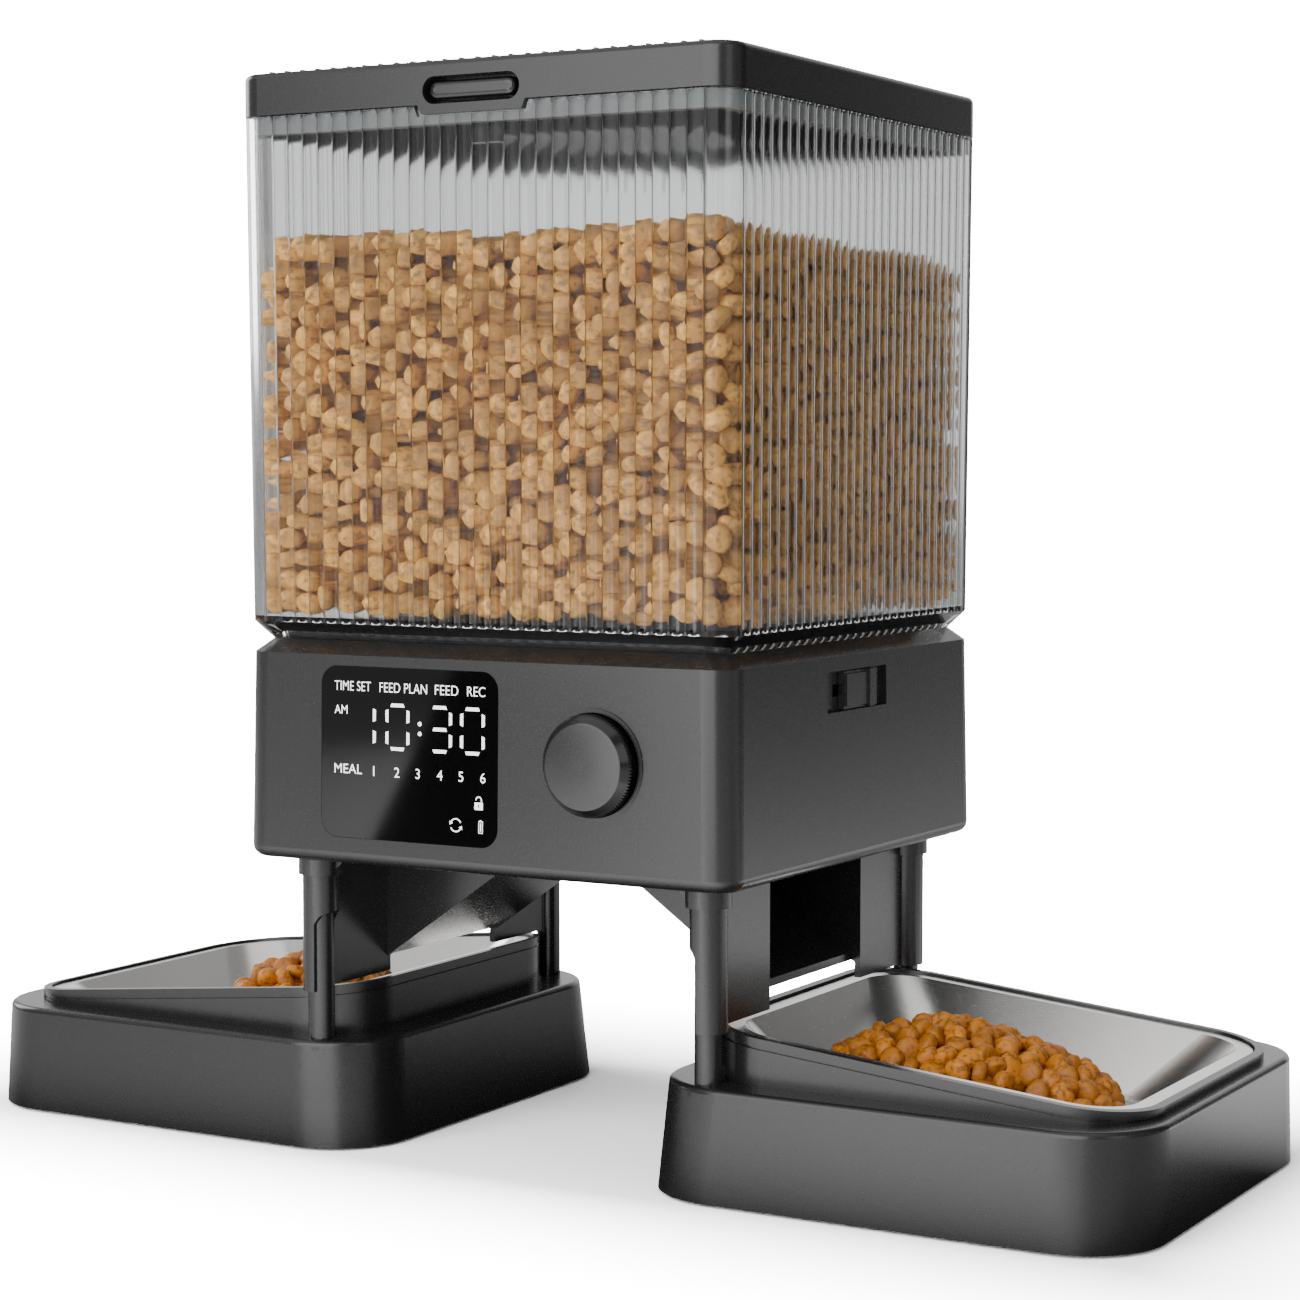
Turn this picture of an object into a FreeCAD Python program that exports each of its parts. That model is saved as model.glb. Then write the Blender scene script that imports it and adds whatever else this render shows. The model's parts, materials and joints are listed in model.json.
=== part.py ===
import FreeCAD, Part
import math
import os

# Two-bowl automatic pet feeder, in millimetres.  X runs along the front face, Y runs back,
# Z up; the origin is on the floor under the middle of the body.  The front is -Y.

V = FreeCAD.Vector
UP = V(0, 0, 1)

# ---------------------------------------------------------------- driving sizes
wall = 2.5                  # moulded wall of the black casings
press_gap = 0.05            # radial gap of a pin or shaft that turns in its hole
fit_gap = 0.3               # gap round pieces that slide, lift or turn past each other

body_half = 105.0           # half the width and the depth of the body at its bottom edge
body_z = 112.7              # underside of the body
body_side_h = 77.8          # height of the body's leaning sides
body_lean = 1.3             # each side leans in by this much over that height
body_corner_r = 11.0
body_edge_r = 4.5           # fillet round the bottom edge
shoulder_in = 6.1           # bevel round the top of the body
shoulder_h = 4.9

tank_step = 0.1             # foot of the tank wall, proud of the body's shoulder by this much
tank_flare = 1.2            # the tank wall leans out by this much over its height
tank_h = 187.6              # height of the upright wall
tank_bevel_h = 6.6          # bevel under the wall, the same inset as the body's shoulder
tank_wall = 2.4
tank_corner_r = 10.5

lid_h = 16.4
lid_edge_r = 2.6
lid_rib_pitch = 7.0
lid_rib_w = 1.1
lid_rib_h = 0.7
tongue_half = 23.3          # the lid's front tongue, round the latch button
tongue_drop = 3.4
button_half = 18.4          # latch button, half length and half height
button_half_h = 3.5

knuckle_r = 4.0             # lid hinge at the back
knuckle_w = 12.0
hinge_x = 55.0
hinge_pin_r = 1.6

window_w = 77.6             # display window
window_h = 63.5
window_x = -28.8            # middle of the window
window_z = 154.75
window_r = 7.0
window_t = 1.6

knob_x = 50.0
knob_z = 155.3
knob_r = 18.4
knob_bevel = 3.15           # bevel from the grip in to the flat face
knob_grip_h = 4.4
knob_h = 7.8
bezel_w = 1.4
shaft_r = 3.0

catch_z = 177.5             # side lock of the tank
catch_len = 50.0
catch_tall = 15.0
catch_y = -3.0
slider_len = 28.0
slider_travel = 14.0
stem_half = 4.0             # half the length of the slider's stem

post_r = 5.0
post_inset = 20.5           # post axis, in from the body's side
post_inset_y = 22.5
sleeve_r = 6.9
sleeve_z = 60.0
collar_r = 8.4
collar_h = 7.9

chute_half = 38.0           # inside half width of the food chute
chute_wall = 2.0
ramp_angle = 35.0
ramp_lip_z = 66.0           # underside of the ramp at the panel
panel_z = 61.0              # bottom edge of the bracket's panel, just over the bowl
brace_len = 9.0             # triangular brace between the sleeve and the body
shaft_past_cup = 4.0        # the chute's upright shaft ends this far outside the cup

base_in = 26.5              # base's inner side, in from the post axis
base_len = 191.0
base_past_post = 12.5       # base's end, past the post axis
base_z = 1.2
base_top = 41.6
base_corner_r = 31.0
base_lean = 3.1
base_edge_r = 2.2
ring_in = 10.5              # bowl ring's inner side, in from the post axis
ring_len = 169.0
ring_half = 77.5
ring_corner_r = 28.0
ring_tilt = 5.56
ring_mid_z = 52.8           # height of the tilted rim at the ring's middle
ring_t = 3.2
ledge_w = 4.2
ledge_t = 2.5
flange_drop = 1.0           # flange of the bowl lies this far under the rim
bowl_t = 0.8
bowl_depth = 27.0
bowl_slope_in = 19.0        # how far the walls come in from flange to floor

cup_r = 40.0
paddle_gap = 0.6            # gap between a paddle's tip and the cup
cup_floor_z = 145.0
cup_h = 18.0
paddles = 6
funnel_in = 6.0             # outlet of the funnel, smaller than the cup by this much

cup_modules = 50            # the cup's radius in gear modules; the train has to reach past it
gear_t = 4.0
teeth_drive = 36
teeth_small = 12
teeth_idler_1 = 30
teeth_idler_2 = 40
axle_r = 1.5
motor_r = 12.0
motor_h = 22.0
motor_shaft_r = 1.0

cell_r = 7.1                # four AA cells
cell_len = 49.5
foot_r = 6.5
foot_in = 24.0              # foot centre, in from the base's sides
jack_r = 5.5                # power socket, low on the back
jack_flange_r = 7.5
jack_sink = 1.6
jack_x = -60.0
jack_up = 17.0
speaker_r = 18.0
speaker_x = -52.0
speaker_y = 66.0
standoff_x = 62.0           # screw posts that carry the feed housing
standoff_y = 34.0
screw_r = 1.3

# ---------------------------------------------------------------- worked-out places
shoulder_z = body_z + body_side_h
tank_half = body_half - body_lean + tank_step
tank_half_top = tank_half + tank_flare
knob_face_r = knob_r - knob_bevel
shaft_in = cup_r / 2
shaft_out = cup_r + shaft_past_cup
rotor_r = cup_r - paddle_gap
funnel_r = cup_r - funnel_in
gear_module = cup_r / cup_modules
jack_z = body_z + jack_up
seat_z = shoulder_z + shoulder_h
flute_z = seat_z + tank_bevel_h
rim_z = flute_z + tank_h
top_z = rim_z + lid_h
lid_half = tank_half_top + 0.2
lid_corner_r = tank_corner_r + 0.3
post_x = body_half - post_inset
post_y = body_half - post_inset_y
base_half = post_y + base_past_post
base_x0 = post_x - base_in
ring_x = post_x - ring_in + ring_len / 2
plate_top = body_z + wall
floor_under = cup_floor_z - wall
seat_half = tank_half - shoulder_in
mouth_half = seat_half - 4.0
opening_half = mouth_half - 2.6
catch_front = catch_y - catch_len / 2
slider_y = catch_front + 0.5 + slider_travel + slider_len / 2
slope = math.tan(math.radians(ramp_angle))


def front_y(z):
    """Depth of the body's leaning front face at height z."""
    return -(body_half - body_lean * (z - body_z) / body_side_h)


knob_front = front_y(knob_z) - knob_h
hinge_y = -knob_front - knuckle_r
hinge_z = rim_z + 2.3


# ---------------------------------------------------------------- small shape makers
def box(x0, x1, y0, y1, z0, z1):
    return Part.makeBox(x1 - x0, y1 - y0, z1 - z0, V(x0, y0, z0))


def rod(radius, x, y, z0, z1):
    return Part.makeCylinder(radius, z1 - z0, V(x, y, z0), UP)


def rod_x(radius, x0, x1, y, z):
    return Part.makeCylinder(radius, x1 - x0, V(x0, y, z), V(1, 0, 0))


def rod_y(radius, x, y0, y1, z):
    return Part.makeCylinder(radius, y1 - y0, V(x, y0, z), V(0, 1, 0))


def tube(outer, inner, x, y, z0, z1):
    return rod(outer, x, y, z0, z1).cut(rod(inner, x, y, z0 - 1, z1 + 1))


def joined(*shapes):
    whole = shapes[0].multiFuse(list(shapes[1:]))
    return whole.removeSplitter()


def less(shape, *tools):
    return shape.cut(list(tools))


def rounded_wire(cx, cy, hx, hy, r, z):
    """Rounded rectangle with four lines and four arcs, counted the same way each time."""
    points = []
    for sx, sy, start in ((1, -1, -90), (1, 1, 0), (-1, 1, 90), (-1, -1, 180)):
        mx, my = cx + sx * (hx - r), cy + sy * (hy - r)
        arc = []
        for turn in (0, 45, 90):
            a = math.radians(start + turn)
            arc.append(V(mx + r * math.cos(a), my + r * math.sin(a), z))
        points.append(arc)
    edges = []
    for i, arc in enumerate(points):
        edges.append(Part.Arc(*arc).toShape())
        edges.append(Part.LineSegment(arc[2], points[(i + 1) % 4][0]).toShape())
    return Part.Wire(edges)


def frustum(*sections):
    """Straight-sided solid through rounded rectangles (cx, cy, hx, hy, r, z)."""
    wires = [rounded_wire(*s) for s in sections]
    return Part.makeLoft(wires, True, True)


def square(half, r, z):
    return (0, 0, half, half, r, z)


def block(cx, cy, hx, hy, r, z0, z1):
    face = Part.Face(rounded_wire(cx, cy, hx, hy, r, z0))
    return face.extrude(V(0, 0, z1 - z0))


def prism(points, direction):
    """Solid from an outline of corner points pushed along a vector."""
    return Part.Face(Part.makePolygon(points + [points[0]])).extrude(direction)


def edges_at(shape, test):
    return [e for e in shape.Edges if all(test(v.Point) for v in e.Vertexes)]


def mirrored(shape):
    return shape.mirror(V(0, 0, 0), V(1, 0, 0))


def stadium(half, half_h, x, z, y0, y1):
    """Long hole or button, its length along X, between two depths."""
    arcs_r = half_h
    flat = half - arcs_r
    left = Part.Arc(V(x - flat, y0, z + arcs_r), V(x - half, y0, z), V(x - flat, y0, z - arcs_r))
    right = Part.Arc(V(x + flat, y0, z - arcs_r), V(x + half, y0, z), V(x + flat, y0, z + arcs_r))
    low = Part.LineSegment(V(x - flat, y0, z - arcs_r), V(x + flat, y0, z - arcs_r))
    high = Part.LineSegment(V(x + flat, y0, z + arcs_r), V(x - flat, y0, z + arcs_r))
    wire = Part.Wire([left.toShape(), low.toShape(), right.toShape(), high.toShape()])
    return Part.Face(wire).extrude(V(0, y1 - y0, 0))


def window_block(grow, y0, y1):
    """Upright rounded plate behind the front face, as wide and tall as the window plus grow."""
    flat = block(window_x, window_z, window_w / 2 + grow, window_h / 2 + grow,
                 window_r + grow, 0, y1 - y0)
    flat.rotate(V(0, 0, 0), V(1, 0, 0), 90)
    flat.translate(V(0, y1, 0))
    return flat


# ---------------------------------------------------------------- body casing
def body_outer():
    corner = body_corner_r
    return frustum(square(body_half, corner, body_z),
                   square(body_half - body_lean, corner, shoulder_z),
                   square(seat_half, corner - shoulder_in / 2, seat_z))


def catch_recess(depth):
    """Recess for the side slider, cut from the right side to the given depth."""
    face = body_half - body_lean * (catch_z - body_z) / body_side_h
    return box(face - depth, face + 5, catch_front, catch_front + catch_len,
               catch_z - catch_tall / 2, catch_z + catch_tall / 2)


def lug_place():
    """Front and back faces of the tank's locking lug."""
    y1 = slider_y - stem_half - slider_travel - 1.5
    return y1 - wall, y1


def body_shell():
    shell = body_outer()
    low = edges_at(shell, lambda p: abs(p.z - body_z) < 0.01)
    shell = shell.makeFillet(body_edge_r, low)
    inside = frustum(square(body_half - wall, body_corner_r - wall, body_z + 3),
                     square(body_half - body_lean - wall, body_corner_r - wall, shoulder_z - 1),
                     square(seat_half - 1.5, body_corner_r - shoulder_in / 2, seat_z - wall))
    bottom = block(0, 0, body_half - 11, body_half - 11, 6, body_z - 1, body_z + 4)
    mouth = block(0, 0, opening_half, opening_half, 6, seat_z - 5, seat_z + 1)
    shell = less(shell, inside, bottom, mouth)
    face = body_half - body_lean * (catch_z - body_z) / body_side_h
    backing = box(face - 5.4, face - 1, catch_front - wall, catch_front + catch_len + wall,
                  catch_z - catch_tall / 2 - wall, catch_z + catch_tall / 2 + wall)
    shell = joined(shell, backing)
    slot = box(face - 8, face, slider_y - slider_travel - stem_half - fit_gap,
               slider_y + stem_half + fit_gap,
               catch_z - 2 - fit_gap, catch_z + 2 + fit_gap)
    lug_front, lug_back = lug_place()
    lug_way = box(opening_half - 2, opening_half + 7, lug_front - 1, lug_back + 1,
                  seat_z - 6, seat_z + 1)
    window_seat = window_block(0.15, front_y(window_z) - 3, front_y(window_z) + window_t)
    light_hole = box(window_x - window_w / 2 + 5, window_x + window_w / 2 - 5,
                     front_y(window_z) - 1, front_y(window_z) + 6,
                     window_z - window_h / 2 + 5, window_z + window_h / 2 - 5)
    knob_hole = rod_y(knob_r + bezel_w + fit_gap, knob_x, -body_half - 2, -body_half + 8, knob_z)
    jack_hole = rod_y(jack_r, jack_x, body_half - 8, body_half + 2, jack_z)
    jack_seat = rod_y(jack_flange_r, jack_x, body_half - jack_sink, body_half + 2, jack_z)
    return less(shell, catch_recess(3.0), slot, lug_way, window_seat, light_hole,
                knob_hole, jack_hole, jack_seat)


def body_bottom():
    half = body_half - 11 - 0.2
    plate = block(0, 0, half, half, 5.8, body_z, plate_top)
    lip_top = body_z + 3
    parts = [plate]
    for sx in (-1, 1):
        for sy in (-1, 1):
            ear = box(half - 6, half + 3, -6, 6, plate_top - 0.5, lip_top + 1.4)
            ear = ear.cut(box(half - 0.1, half + 4, -7, 7, plate_top - 1, lip_top))
            ear.translate(V(0, sy * 45, 0))
            parts.append(ear if sx > 0 else mirrored(ear))
            parts.append(rod(4.0, sx * standoff_x, sy * standoff_y, plate_top - 0.5, floor_under))
    plate = joined(*parts)
    cuts = []
    gap = 0.2
    for sx in (-1, 1):
        x0, x1 = sorted((sx * (shaft_in - gap), sx * (shaft_out + gap)))
        reach = chute_half + chute_wall + gap
        cuts.append(box(x0, x1, -reach, reach, body_z - 1, plate_top + 1))
        for sy in (-1, 1):
            cuts.append(rod(post_r + press_gap, sx * post_x, sy * post_y, body_z - 1, plate_top + 1))
            cuts.append(rod(screw_r, sx * standoff_x, sy * standoff_y, floor_under - 12, floor_under + 1))
    door = battery_place()
    cuts.append(box(-door["hx"], door["hx"], door["front"], door["back"],
                    body_z - 1, plate_top + 1))
    cuts.append(rod_x(1.1, -door["hx"] - 2.6, door["hx"] + 2.6, door["pin_y"], door["pin_z"]))
    for ring_r, count in ((0, 1), (5.5, 6), (11, 12)):
        for i in range(count):
            a = 2 * math.pi * i / count
            cuts.append(rod(1.2, speaker_x + ring_r * math.cos(a), speaker_y + ring_r * math.sin(a),
                            body_z - 1, plate_top + 1))
    return less(plate, *cuts)


def battery_place():
    back = -(cup_r + wall + 1.5 + 1.2)
    depth = 4 * cell_r + 3.6
    return {"hx": cell_len + 4.5, "back": back, "front": back - depth,
            "pin_y": back - 0.4 - 1.15, "pin_z": body_z + 1.15}


def battery_parts():
    place = battery_place()
    shell_x = place["hx"] + 1.2
    floor = plate_top + 0.4
    inner_top = floor + 2 * cell_r + 0.7
    case = box(-shell_x, shell_x, place["front"] - 1.2, place["back"] + 1.2,
               plate_top, inner_top + 1.2)
    case = case.cut(box(-place["hx"], place["hx"], place["front"], place["back"],
                        plate_top - 1, inner_top))
    cells = []
    for row in (0, 1):
        y = place["back"] - 0.9 - cell_r - row * (2 * cell_r + 0.6)
        for side in (-1, 1):
            x0 = side * (cell_len / 2 + 1.2) - cell_len / 2
            cell = rod_x(cell_r, x0, x0 + cell_len, y, floor + cell_r + 0.3)
            tip = rod_x(2.7, x0 + cell_len, x0 + cell_len + 1.0, y, floor + cell_r + 0.3)
            cells.append(joined(cell, tip))
    front = place["front"] + 0.4
    leaf = box(-place["hx"] + 0.4, place["hx"] - 0.4, front, place["pin_y"], body_z, body_z + 2.3)
    barrel = rod_x(1.15, -place["hx"] + 0.4, place["hx"] - 0.4, place["pin_y"], place["pin_z"])
    pins = [rod_x(1.0, s * (place["hx"] + 0.9) - 1.5, s * (place["hx"] + 0.9) + 1.5,
                  place["pin_y"], place["pin_z"]) for s in (-1, 1)]
    thumb = box(-12, 12, front + 3, front + 5, body_z - 0.5, body_z + 0.4)
    door = less(joined(leaf, barrel, *pins), thumb)
    return {"battery_box": case, "battery_cells": Part.makeCompound(cells), "battery_door": door}


# ---------------------------------------------------------------- front panel
def display_parts():
    face = front_y(window_z)
    window = body_outer().common(window_block(0, face - 3, face + window_t))
    back = face + window_t
    lamps = box(window_x - window_w / 2 + 6, window_x + window_w / 2 - 6, back + 0.2, back + 4,
                window_z - window_h / 2 + 6, window_z + window_h / 2 - 6)
    card = box(window_x - window_w / 2 + 2, window_x + window_w / 2 - 2, back + 4, back + 5.6,
               window_z - window_h / 2 + 2, window_z + window_h / 2 - 2)
    return {"display_window": window, "display_module": joined(lamps, card)}


def turned(profile):
    """Solid of revolution about the knob's axis; the profile is (radius, depth) pairs."""
    points = [V(knob_x + r, y, knob_z) for r, y in profile]
    face = Part.Face(Part.makePolygon(points + [points[0]]))
    return face.revolve(V(knob_x, 0, knob_z), V(0, 1, 0), 360)


def knob_parts():
    face = front_y(knob_z)
    back = face + 1.8
    grip = face - knob_grip_h
    cap = turned([(0, knob_front), (knob_face_r, knob_front), (knob_r, grip), (knob_r, back),
                  (knob_r - 2.4, back), (knob_r - 2.4, grip + 0.6), (6.0, grip + 0.6),
                  (6.0, back), (0, back)])
    rim = edges_at(cap, lambda p: abs(p.y - knob_front) < 0.01)
    cap = cap.makeFillet(0.6, rim)
    bore_end = knob_front + 2.4
    cap = cap.cut(rod_y(shaft_r, knob_x, bore_end, back + 1, knob_z))
    bezel = turned([(knob_r + fit_gap, face - 0.5), (knob_r + fit_gap + bezel_w, face - 0.5),
                    (knob_r + fit_gap + bezel_w, face + 2.2), (knob_r + fit_gap, face + 2.2)])
    case_front = back + 3.4
    case_back = case_front + 7
    cavity_front = case_front + 3
    case = box(knob_x - 7, knob_x + 7, case_front, case_back, knob_z - 7, knob_z + 7)
    case = less(case, rod_y(shaft_r + press_gap, knob_x, case_front - 1, cavity_front, knob_z),
                rod_y(5.5, knob_x, cavity_front, case_back - 1.2, knob_z))
    shaft = rod_y(shaft_r, knob_x, bore_end, cavity_front + 0.6, knob_z)
    plunger = rod_y(5.0, knob_x, cavity_front + 0.6, cavity_front + 1.6, knob_z)
    board = box(knob_x - 18, knob_x + 22, case_back, case_back + 1.6, knob_z - 18, knob_z + 20)
    return {"knob_cap": cap, "knob_bezel": bezel, "encoder_body": case, "encoder_shaft": shaft,
            "encoder_plunger": plunger, "control_board": board}


# ---------------------------------------------------------------- tank
def tank_knuckles(part):
    """Hinge knuckles of the tank or the lid, round the same pin line."""
    shapes = []
    for side in (-1, 1):
        x = side * hinge_x
        if part == "tank":
            spans = [(x - knuckle_w / 2, x + knuckle_w / 2)]
        else:
            far = knuckle_w / 2 + fit_gap
            spans = [(x - far - 8, x - far), (x + far, x + far + 8)]
        for x0, x1 in spans:
            shapes.append((x0, x1))
    return shapes


def hopper_tank():
    r = tank_corner_r
    outer = frustum(square(seat_half, r - 3, seat_z), square(tank_half, r, flute_z),
                    square(tank_half_top, r, rim_z))
    bore = block(0, 0, mouth_half, mouth_half, 6, seat_z - 1, seat_z + 6)
    inner = frustum(square(mouth_half, 6, seat_z + 5.1),
                    square(tank_half - tank_wall, r - tank_wall, flute_z + 2),
                    square(tank_half_top - tank_wall, r - tank_wall, rim_z + 0.01))
    tank = less(outer, bore, inner)
    back = tank_half_top - tank_wall / 2
    webs = []
    for x0, x1 in tank_knuckles("tank"):
        web = prism([V(x0, back, rim_z - 14), V(x0, hinge_y + knuckle_r, hinge_z - 4),
                     V(x0, hinge_y + knuckle_r, hinge_z), V(x0, hinge_y, hinge_z),
                     V(x0, back, rim_z - 0.6)], V(x1 - x0, 0, 0))
        webs += [web, rod_x(knuckle_r, x0, x1, hinge_y, hinge_z)]
    catch = box(-8, 8, -tank_half_top + tank_wall / 2, -tank_half_top + 7.4, rim_z - 10.5, rim_z - 7.5)
    tank = joined(tank, catch, *webs)
    notch = box(-tongue_half - fit_gap, tongue_half + fit_gap, -lid_half - 1,
                -tank_half_top + tank_wall + 1, rim_z - tongue_drop - fit_gap, rim_z + 1)
    cuts = [notch]
    for x0, x1 in tank_knuckles("lid"):
        cuts.append(rod_x(knuckle_r + fit_gap, x0 - fit_gap, x1 + fit_gap, hinge_y, hinge_z))
    for side in (-1, 1):
        x = side * hinge_x
        cuts.append(rod_x(hinge_pin_r + press_gap, x - knuckle_w, x + knuckle_w, hinge_y, hinge_z))
    return less(tank, *cuts)


def hopper_funnel():
    foot_z = cup_floor_z + cup_h + 5
    rim = seat_z + 5.1
    half = mouth_half - 0.1
    drop = 2.0
    outer = frustum(square(funnel_r + 2.5, funnel_r + 2.4, foot_z),
                    square(half, 6, rim - 3.1), square(half, 6, rim))
    inner = frustum(square(funnel_r, funnel_r - 0.1, foot_z - 0.5), square(half - 0.4, 6, rim + 0.01))
    collar = rod(funnel_r + 2.1, 0, 0, foot_z - 6.5, foot_z + 1.4)
    neck = rod(funnel_r - 0.4, 0, 0, foot_z - 7, foot_z + drop)
    lug_front, lug_back = lug_place()
    face = body_half - body_lean * (catch_z - body_z) / body_side_h
    lug_x = face - 10
    lug = box(mouth_half - 3.5, lug_x + 3.5, lug_front, lug_back, catch_z - 4.5, seat_z)
    root = box(mouth_half - 3.5, half, lug_front, lug_back, seat_z - 0.5, seat_z + 3)
    funnel = less(joined(outer, collar), inner, neck)
    hole = rod_y(2.0 + fit_gap, lug_x, lug_front - 1, lug_back + 1, catch_z)
    return less(joined(funnel, lug, root), hole)


# ---------------------------------------------------------------- lid
def lid_cover():
    r = lid_corner_r
    cover = block(0, 0, lid_half, lid_half, r, rim_z, top_z - lid_rib_h)
    upper = edges_at(cover, lambda p: abs(p.z - (top_z - lid_rib_h)) < 0.01)
    cover = cover.makeFillet(lid_edge_r, upper)
    hollow = block(0, 0, lid_half - wall, lid_half - wall, r - wall, rim_z - 1, top_z - 3.4)
    cover = cover.cut(hollow)
    skirt_half = tank_half_top - tank_wall - 4.0
    skirt = block(0, 0, skirt_half, skirt_half, r - 4, rim_z - 7, top_z - 3)
    skirt = skirt.cut(block(0, 0, skirt_half - 2, skirt_half - 2, r - 6, rim_z - 8, top_z - 2))
    pocket = box(-tongue_half, tongue_half, -lid_half + 1, -lid_half + 11.7, rim_z, top_z - 3)
    tongue = prism([V(-tongue_half, -lid_half, rim_z + 1), V(tongue_half, -lid_half, rim_z + 1),
                    V(tongue_half - 2, -lid_half, rim_z - tongue_drop),
                    V(-tongue_half + 2, -lid_half, rim_z - tongue_drop)], V(0, wall, 0))
    count = int((lid_half - 8) / lid_rib_pitch)
    ribs = [box(i * lid_rib_pitch - lid_rib_w / 2, i * lid_rib_pitch + lid_rib_w / 2,
                -lid_half + 4, lid_half - 4, top_z - lid_rib_h - 0.2, top_z)
            for i in range(-count, count + 1)]
    blocks = []
    for x0, x1 in tank_knuckles("lid"):
        arm = box(x0, x1, lid_half - 1, hinge_y, rim_z, hinge_z + knuckle_r)
        blocks += [arm, rod_x(knuckle_r, x0, x1, hinge_y, hinge_z)]
    cover = joined(cover, skirt, pocket, tongue, *ribs, *blocks)
    button_z = rim_z + 4.9
    cuts = [stadium(button_half + 2.1, button_half_h + 1.4, 0, button_z, -lid_half - 1, -lid_half + 9.7),
            box(-6.3, 6.3, -lid_half + 9, -lid_half + 13, button_z - 2.3, button_z + 2.3)]
    for x0, x1 in tank_knuckles("tank"):
        cuts.append(rod_x(knuckle_r + fit_gap, x0 - fit_gap, x1 + fit_gap, hinge_y, hinge_z))
    for side in (-1, 1):
        x = side * hinge_x
        cuts.append(rod_x(hinge_pin_r, x - knuckle_w - 4, x + knuckle_w + 4, hinge_y, hinge_z))
    return less(cover, *cuts)


def latch_parts():
    button_z = rim_z + 4.9
    front = -lid_half + 0.1
    rear = -lid_half + 6.2
    button = stadium(button_half, button_half_h, 0, button_z, front, rear)
    rim = edges_at(button, lambda p: abs(p.y - front) < 0.01)
    button = button.makeFillet(2.4, rim)
    stem = box(-6, 6, rear - 0.5, -lid_half + 14.5, button_z - 2, button_z + 2)
    leg = box(-6, 6, -lid_half + 12.7, -lid_half + 14.5, rim_z - 13.5, button_z + 2)
    barb = box(-6, 6, -lid_half + 9.1, -lid_half + 13, rim_z - 13.5, rim_z - 11.1)
    bar = joined(button, stem, leg, barb)
    springs = []
    for side in (-1, 1):
        seat = rod_y(2.4, side * 11.5, rear - 4, rear + 1, button_z)
        bar = bar.cut(seat)
        springs.append(coil(side * 11.5, rear - 4, -lid_half + 9.7, button_z))
    return {"lid_latch_bar": bar, "lid_latch_springs": Part.makeCompound(springs)}


def coil(x, y0, y1, z):
    """Small compression spring along Y between two depths."""
    wire_r = 0.25
    length = y1 - y0 - 2 * wire_r
    helix = Part.makeHelix(length / 5, length, 1.7)
    ring = Part.Wire(Part.makeCircle(wire_r, V(1.7, 0, 0), V(0, 1, 0)))
    spring = Part.Wire(helix.Edges).makePipeShell([ring], True, True)
    spring.rotate(V(0, 0, 0), V(1, 0, 0), -90)
    spring.translate(V(x, y0 + wire_r, z))
    return spring


def lid_small_parts():
    outer = tank_half_top - tank_wall - 0.5
    skirt_half = tank_half_top - tank_wall - 4.0
    r = lid_corner_r
    seal = block(0, 0, outer, outer, r - 1, rim_z - 6.8, rim_z - 0.5)
    seal = seal.cut(block(0, 0, skirt_half, skirt_half, r - 4, rim_z - 8, rim_z + 1))
    tray = block(0, 10, 42, 42, 6, rim_z - 4, top_z - 3.4)
    tray = tray.cut(block(0, 10, 40, 40, 4, rim_z - 2, top_z - 3))
    vents = [box(x - 1, x + 1, -18, 38, rim_z - 5, rim_z - 1) for x in range(-32, 33, 8)]
    tray = less(tray, *vents)
    sachet = block(0, 10, 38, 38, 5, rim_z - 1.9, rim_z + 6)
    pins = []
    for side in (-1, 1):
        x = side * hinge_x
        pins.append(rod_x(hinge_pin_r, x - knuckle_w / 2 - 8, x + knuckle_w / 2 + 8, hinge_y, hinge_z))
    return {"lid_gasket": seal, "desiccant_tray": tray, "desiccant_sachet": sachet,
            "lid_hinge_pins": Part.makeCompound(pins)}


# ---------------------------------------------------------------- side lock of the tank
def slider_parts():
    face = body_half - body_lean * (catch_z - body_z) / body_side_h
    y0 = slider_y - slider_len / 2
    y1 = slider_y + slider_len / 2
    tall = catch_tall / 2 - 0.5
    plate = box(face - 2.8, face - 0.4, y0, y1, catch_z - tall, catch_z + tall)
    grip = box(face - 0.6, face + 1.2, slider_y + 5, slider_y + 9, catch_z - tall, catch_z + tall)
    pad = box(face - 0.6, face + 0.4, y0 + 1, slider_y + 5.1, catch_z - tall + 1, catch_z + tall - 1)
    stem = box(face - 8.0, face - 2.7, slider_y - stem_half, slider_y + stem_half,
               catch_z - 2, catch_z + 2)
    slider = joined(plate, grip, pad, stem)
    carrier = box(face - 12, face - 8.0, slider_y - stem_half, slider_y + stem_half,
                  catch_z - 3.5, catch_z + 3.5)
    lug_front, lug_back = lug_place()
    pin = rod_y(2.0, face - 10, lug_back + 1.5, slider_y - stem_half + 0.1, catch_z)
    return {"tank_lock_slider": slider, "tank_lock_bolt": joined(carrier, pin)}


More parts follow.
